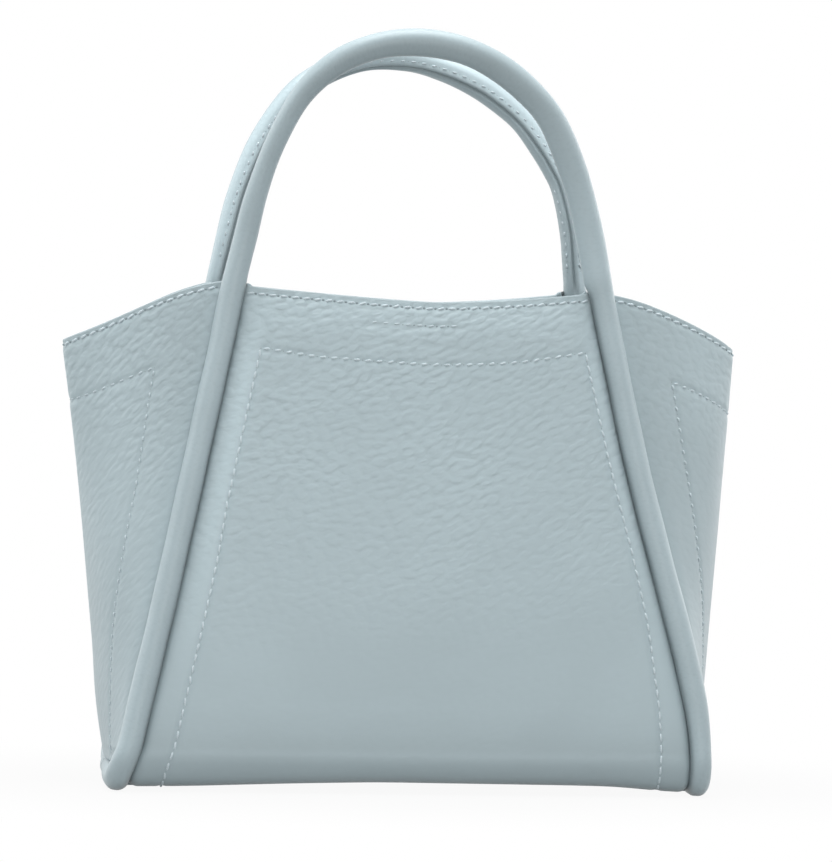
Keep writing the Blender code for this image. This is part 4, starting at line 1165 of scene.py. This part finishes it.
def build_panel(word, facing):
    surface = panel_surface(facing)
    half = LEATHER_THICKNESS / 2
    across = np.linspace(-1, 1, 220)
    rim = rim_dip(across)
    grid, distance = sheet_between(surface, across, rim + half, TURN_END + PANEL_LAP_UNDER_BASE - half, 250)
    paths = panel_stitch_lines(facing)
    left, right = panel_edges(facing, distance)
    from_seam = np.minimum(grid[..., 0] - left, right - grid[..., 0])
    from_stitch = from_seam - stitch_from_seam(facing, grid[..., 0], grid[..., 2])
    # A smoother strip beside each seam tube, which is also lightened with painted light
    strip = smooth(*STRIP_FROM_SEAM, from_seam) * smooth(*STRIP_PAST_STITCH, from_stitch)
    strip = strip * smooth(*STRIP_FROM_FOOT, distance)
    strip = strip * (STRIP_AT_RIM + (1 - STRIP_AT_RIM) * smooth(*STRIP_FROM_RIM, distance))
    turn_wear = TURN_WEAR * smooth(*TURN_WEAR_REACH, np.abs(distance - TURN_START - TURN_WEAR_CENTRE))
    # Painted shade in the groove beside the tubes and about the turn into the base
    shade = GROOVE_SHADE * smooth(*GROOVE_SHADE_REACH, from_seam) + profile(distance - TURN_START, FOOT_SHADE)
    grain = profile(distance, PANEL_GRAIN) * (1 - STRIP_SMOOTHNESS * strip)
    dent = tab_dent(grid) if facing < 0 else 0.0
    rim_row, hem, *slanted = build_wall(
        word + "_panel", surface, grid, distance - rim[:, None], paths, (0, facing, 0), "panel", dent, shade,
        grain=grain, wear=turn_wear + STRIP_PAINTED_LIGHT * strip)
    sew(word + "_panel_rim", [rim_row], BOLD, facing + 15)
    if facing < 0:
        x = TAB_STITCH_MIDDLE + np.linspace(-TAB_STITCH_HALF, TAB_STITCH_HALF, 24)
        drop = rim_dip(x / RIM_HALF_WIDTH) + TAB_STITCH_DROP
        sew("closing_tab_outer", [surface_line(surface, x / RIM_HALF_WIDTH, drop, STITCH_LIFT)], SUNK, 17)
    sew(word + "_panel_hem", [hem], FINE, facing + 5)
    sew(word + "_panel", slanted, LONG, facing + 25)


def build_wing(word, side):
    surface = gusset_surface(side)
    half = LEATHER_THICKNESS / 2
    along = np.sin(np.linspace(-math.pi / 2, math.pi / 2, 221)) * 0.45 + np.linspace(-1, 1, 221) * 0.55
    rim = wing_top(side, along)
    grid, height = sheet_between(surface, along, rim - half, WING_FOOT, 230)
    paths = wing_stitch_lines(side)
    # Painted shade beside the tubes and low on the wing; the fold is lightened by wear and by painted light
    beside = smooth(*WING_EDGE_SHADE_REACH, (1 - np.abs(along[:, None])) * gusset_edge_depth(height))
    shade = WING_EDGE_SHADE * beside * smooth(*WING_EDGE_SHADE_HEIGHTS, height)
    shade = shade + WING_SHADE * smooth(*WING_SHADE_HEIGHTS[side], height)
    rim_row, *others = build_wall(
        word + "_gusset", surface, grid, rim[:, None] - height, paths, (side, 0, 0), word + "_wing", 0.0,
        shade, grain=profile(height, WING_GRAIN), wear=FOLD_WEAR_AND_LIGHT * hump(along[:, None], FOLD_WEAR_AND_LIGHT_WIDTH))
    sew(word + "_gusset_rim", [rim_row], BOLD, side + 9)
    sew(word + "_gusset", others, SMALL if side < 0 else DOTTED, side + 9)


def build_base():
    """The base panel and the lining over it."""
    reach = TURN_CENTRE_DEPTH - PANEL_LAP_UNDER_BASE - CLEARANCE
    across = np.linspace(-1, 1, 200)

    def level(inset, height, rise):
        rows = []
        for depth in np.linspace(-reach, reach, 70):
            facing = -1 if depth < 0 else 1
            left = float(seam_x(-1, facing, abs(depth), BASE_HEIGHT)) + inset
            right = float(seam_x(1, facing, abs(depth), BASE_HEIGHT)) - inset
            x = (left + right) / 2 + across * (right - left) / 2
            z = height + rise * (1 - across**2) * (1 - (depth / reach) ** 2)
            z = z - base_sag(facing, x) * smooth(reach - BASE_SAG_REACH, reach, abs(depth))
            rows.append(np.stack((x, np.full(len(across), depth), z), -1))
        return np.stack(rows, 1)

    grid = level(TUBE_RADIUS - BASE_IN_TUBE, BASE_HEIGHT, 0.0)
    panel = closed_sheet("base_panel_leather", grid, LEATHER_THICKNESS, (0, 0, -1), LOOKS["panel"], grain=0.5)
    put(panel, "bag", "pebbled_leather", "base_panel")
    low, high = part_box("base_lining")
    grid = level(TUBE_RADIUS + BASE_LINING_GAP, (low.z + high.z) / 2, BASE_LINING_RISE)
    lining = closed_sheet("base_lining_cloth", grid, LINING_THICKNESS, (0, 0, 1), LOOKS["lining"])
    put(lining, "bag", "lining_cloth", "base_lining")


def lining_slack(grid, facing):
    """Soft folds of the loose lining, towards the inside of the bag."""
    x, z = grid[..., 0], grid[..., 2]
    free = smooth(0.0, 0.02, RIM_HEIGHT - FACING_DEPTH - z) * smooth(0.012, 0.04, z)
    free = free * np.clip(1 - (x / 0.085) ** 4, 0, 1)
    fold = LINING_FOLD * (1 + np.sin(x * 62 + 1.3 * np.sin(z * 40)) * np.cos(z * 27 + facing))
    return np.stack((np.zeros_like(x), -facing * fold * free, np.zeros_like(x)), -1)


def add_facing(word, grid, inward, hole=None):
    piece = closed_sheet(word + "_facing_leather", grid, FACING_THICKNESS, inward, LOOKS["facing"], grain=0.8)
    if hole:
        bore(piece, hole)
    put(piece, "bag", "facing_leather", word + "_facing")


def add_lining(word, grid, inward):
    piece = closed_sheet(word + "_lining_cloth", grid, LINING_THICKNESS, inward, LOOKS["lining"])
    put(piece, "bag", "lining_cloth", word + "_lining")


def build_inside():
    """The facings inside the rim, and the linings below them."""
    facing_offset = LEATHER_THICKNESS / 2 + CLEARANCE + FACING_THICKNESS / 2
    lining_offset = LEATHER_THICKNESS / 2 + CLEARANCE + LINING_THICKNESS / 2
    lining_start = FACING_DEPTH + 2 * CLEARANCE
    lining_end = TURN_START + BASE_TURN_RADIUS * (LINING_TURN_ANGLE + WALL_TILT)
    wide, coarse = np.linspace(-1, 1, 160), np.linspace(-1, 1, 120)
    for word, facing in (("front", -1), ("back", 1)):
        inward = (0, -facing, 0)
        surface = panel_surface(facing, LEATHER_THICKNESS, facing_offset)
        grid, _ = sheet_between(surface, wide, rim_dip(wide) + FACING_THICKNESS / 2, FACING_DEPTH, 28)
        add_facing(word, grid, inward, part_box("snap_socket") if facing > 0 else None)
        across = np.linspace(-0.97, 0.97, 120)
        drop = rim_dip(across) + RIM_STITCH_DROP
        row = surface_line(surface, across, drop, FACING_THICKNESS / 2 - 0.0001, inward)
        sew(word + "_facing", [row], BOLD, facing + 20, "facing_leather")
        surface = panel_surface(facing, LEATHER_THICKNESS, lining_offset)
        grid, _ = sheet_between(surface, coarse, np.full(len(coarse), lining_start), lining_end, 120)
        add_lining(word, grid + lining_slack(grid, facing), inward)
    for word, side in (("left", -1), ("right", 1)):
        top = wing_top(side, wide)
        surface = gusset_surface(side, LEATHER_THICKNESS, facing_offset)
        grid, _ = sheet_between(surface, wide, top - FACING_THICKNESS / 2, top - FACING_DEPTH, 28)
        add_facing(word, grid, (-side, 0, 0))
        surface = gusset_surface(side, LEATHER_THICKNESS, lining_offset)
        start = wing_top(side, coarse) - lining_start
        grid, _ = sheet_between(surface, coarse, start, TURN_CENTRE_HEIGHT, 100)
        add_lining(word, grid, (-side, 0, 0))


def bore(thing, box):
    """Makes the round hole that a part of the snap passes through, at the middle of the part's box."""
    bpy.ops.mesh.primitive_cylinder_add(radius=SNAP_HOLE_RADIUS, depth=DRILL_LENGTH, vertices=40,
                                        location=(box[0] + box[1]) / 2, rotation=(math.pi / 2, 0, 0))
    drill = bpy.context.object
    modifier = thing.modifiers.new("hole", "BOOLEAN")
    modifier.object = drill
    modifier.solver = "EXACT"
    bpy.context.view_layer.update()
    evaluated = thing.evaluated_get(bpy.context.evaluated_depsgraph_get())
    mesh = bpy.data.meshes.new_from_object(evaluated)
    thing.modifiers.clear()
    old = thing.data
    thing.data = mesh
    mesh.name = old.name
    bpy.data.meshes.remove(old)
    bpy.data.objects.remove(drill, do_unlink=True)


def build_tab():
    low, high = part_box("closing_tab")
    edge = (high.y - low.y) / 2
    middle = (low.y + high.y) / 2
    half = (high.x - low.x) / 2
    length = high.z - low.z
    down = np.linspace(edge, length - edge, 44)
    below = np.clip(down - (length - TAB_CORNER), 0, TAB_CORNER - edge)
    width = half - TAB_CORNER + np.sqrt((TAB_CORNER - edge) ** 2 - below**2)
    x = np.linspace(-width, width, 34)
    grid = np.stack((x, np.full(x.shape, middle), np.broadcast_to(high.z - down, x.shape)), -1)
    piece = closed_sheet("closing_tab_leather", grid, 2 * edge, (0, -1, 0), LOOKS["facing"], grain=0.7)
    bore(piece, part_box("snap_stud"))
    put(piece, "tab", "facing_leather", "closing_tab")

    corner_x, corner_z = TAB_CORNER - half, low.z + TAB_CORNER
    radius = TAB_CORNER - TAB_STITCH_INSET
    outline = [(TAB_STITCH_INSET - half, z) for z in np.linspace(high.z - 0.002, corner_z, 30)]
    for angle in np.linspace(math.pi, 1.5 * math.pi, 12)[1:]:
        outline.append((corner_x + radius * math.cos(angle), corner_z + radius * math.sin(angle)))
    outline += [(-x, z) for x, z in outline[::-1]]
    lines = []
    for way in (-1, 1):
        points = np.array([(x, middle + way * edge, z) for x, z in outline])
        lines.append((points, np.tile((0.0, float(way), 0.0), (len(points), 1))))
    sew("closing_tab", lines, FINE, 3, "facing_leather", "tab")


def build_handles():
    for word, facing, seam in (("front", -1, "left"), ("back", 1, "right")):
        cover, core, path, inward, outward, lap = build_tube(word, facing)
        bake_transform(cover)
        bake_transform(core)
        put(cover, None, "tube_leather", word + "_handle", word + "_handle_left_flex",
            word + "_handle_right_flex", seam + "_seam_tube")
        put(core, None, "tube_core", word + "_handle_core", seam + "_seam_core")
        high = path[:, 2] > RIM_HEIGHT + HANDLE_STITCH_FROM
        lines = []
        for way, sink, chosen in ((1, 0.8, high), (-1, 0.3, high & (path[:, 0] > SECOND_ROW_FROM))):
            angle = (lap + way * HANDLE_STITCH_TURN)[chosen][:, None]
            normals = inward[chosen] * np.cos(angle) + outward[chosen] * np.sin(angle)
            points = path[chosen] + normals * (TUBE_RADIUS - HANDLE_STITCH_DENT * sink)
            lines.append((swell_tube(points[:, None], path[chosen], outward[chosen], facing)[:, 0], normals))
        for thing in stitch_rows(word + "_handle", lines, SMALL, 30):
            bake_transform(thing)
            put(thing, None, "tube_leather")


def finish_cad_nodes():
    """Gives the board and the snap's metal their own finish."""
    for name in ("base_board", "snap_stud", "snap_stud_washer", "snap_socket"):
        node = frame["nodes"][name]
        node.data.materials.clear()
        node.data.materials.append(LOOKS["board" if name == "base_board" else "metal"])


# Camera, floor and light

def add_camera():
    data = bpy.data.cameras.new("camera")
    data.sensor_fit = "HORIZONTAL"
    data.sensor_width = SENSOR
    data.lens = FOCAL_PIXELS * SENSOR / IMAGE_WIDTH
    camera = bpy.data.objects.new("camera", data)
    turn = Matrix.Rotation(VIEW_AZIMUTH, 4, "Z") @ Matrix.Rotation(math.pi / 2 - VIEW_PITCH, 4, "X")
    turn = turn @ Matrix.Rotation(VIEW_ROLL, 4, "Z")
    away = Matrix.Translation((0, 0, VIEW_DISTANCE))
    camera.matrix_world = Matrix.Translation(VIEW_TARGET) @ turn @ away
    bpy.context.scene.collection.objects.link(camera)
    bpy.context.scene.camera = camera


def seen_directly(tree):
    """1 for rays from the camera and those through gloss or glass, 0 for those that light the object."""
    path = add(tree, "LightPath")
    seen = maths(tree, "MAXIMUM", path.outputs["Is Camera Ray"], path.outputs["Is Glossy Ray"])
    return maths(tree, "MAXIMUM", seen, path.outputs["Is Transmission Ray"])


def add_floor():
    """A floor that looks white, and light gray close to the bag."""
    made, tree, shader = material("floor", Base_Color=(*FLOOR, 1), Roughness=0.9)
    white = add(tree, "Emission", in_Strength=1.0)
    place = add(tree, "TexCoord").outputs["Object"]
    flat = maths(tree, "MULTIPLY", place, (1.0, 1.6, 0.0), kind="VectorMath")
    distance = maths(tree, "LENGTH", flat, kind="VectorMath")
    away = map_range(tree, distance, 0.10, 0.26, 0.93, 1.0)
    mix = add(tree, "MixShader")
    factor = maths(tree, "MULTIPLY", away, seen_directly(tree))
    for source, socket in zip((factor, shader.outputs[0], white.outputs[0]), mix.inputs):
        tree.links.new(source, socket)
    tree.links.new(mix.outputs[0], tree.nodes["Material Output"].inputs["Surface"])
    corners = [(x * FLOOR_HALF_SIZE, y * FLOOR_HALF_SIZE, 0) for x, y in ((-1, -1), (1, -1), (1, 1), (-1, 1))]
    new_object("floor", corners, [[0, 1, 2, 3]], made)


def add_world():
    """A studio that is white where it is seen and dimmer as a light."""
    world = bpy.data.worlds.new("studio")
    bpy.context.scene.world = world
    world.use_nodes = True
    background = world.node_tree.nodes["Background"]
    background.inputs["Color"].default_value = (1, 1, 1, 1)
    seen = seen_directly(world.node_tree)
    strength = maths(world.node_tree, "MULTIPLY_ADD", seen, 1.0 - WORLD_LEVEL, WORLD_LEVEL)
    world.node_tree.links.new(strength, background.inputs["Strength"])


def add_softbox(name, place, size, power):
    data = bpy.data.lights.new(name, "AREA")
    data.shape = "RECTANGLE"
    data.size, data.size_y = size
    data.energy = power
    lamp = bpy.data.objects.new(name, data)
    lamp.location = place
    lamp.rotation_euler = (LAMP_TARGET - Vector(place)).to_track_quat("-Z", "Y").to_euler()
    bpy.context.scene.collection.objects.link(lamp)


def build_all():
    build_panel("front", -1)
    build_panel("back", 1)
    build_wing("left", -1)
    build_wing("right", 1)
    build_base()
    build_inside()
    build_tab()
    build_handles()
    finish_cad_nodes()
    add_camera()
    add_floor()
    add_world()
    for softbox in SOFTBOXES:
        add_softbox(*softbox)
    bpy.context.scene.view_settings.view_transform = "Standard"


build_all()
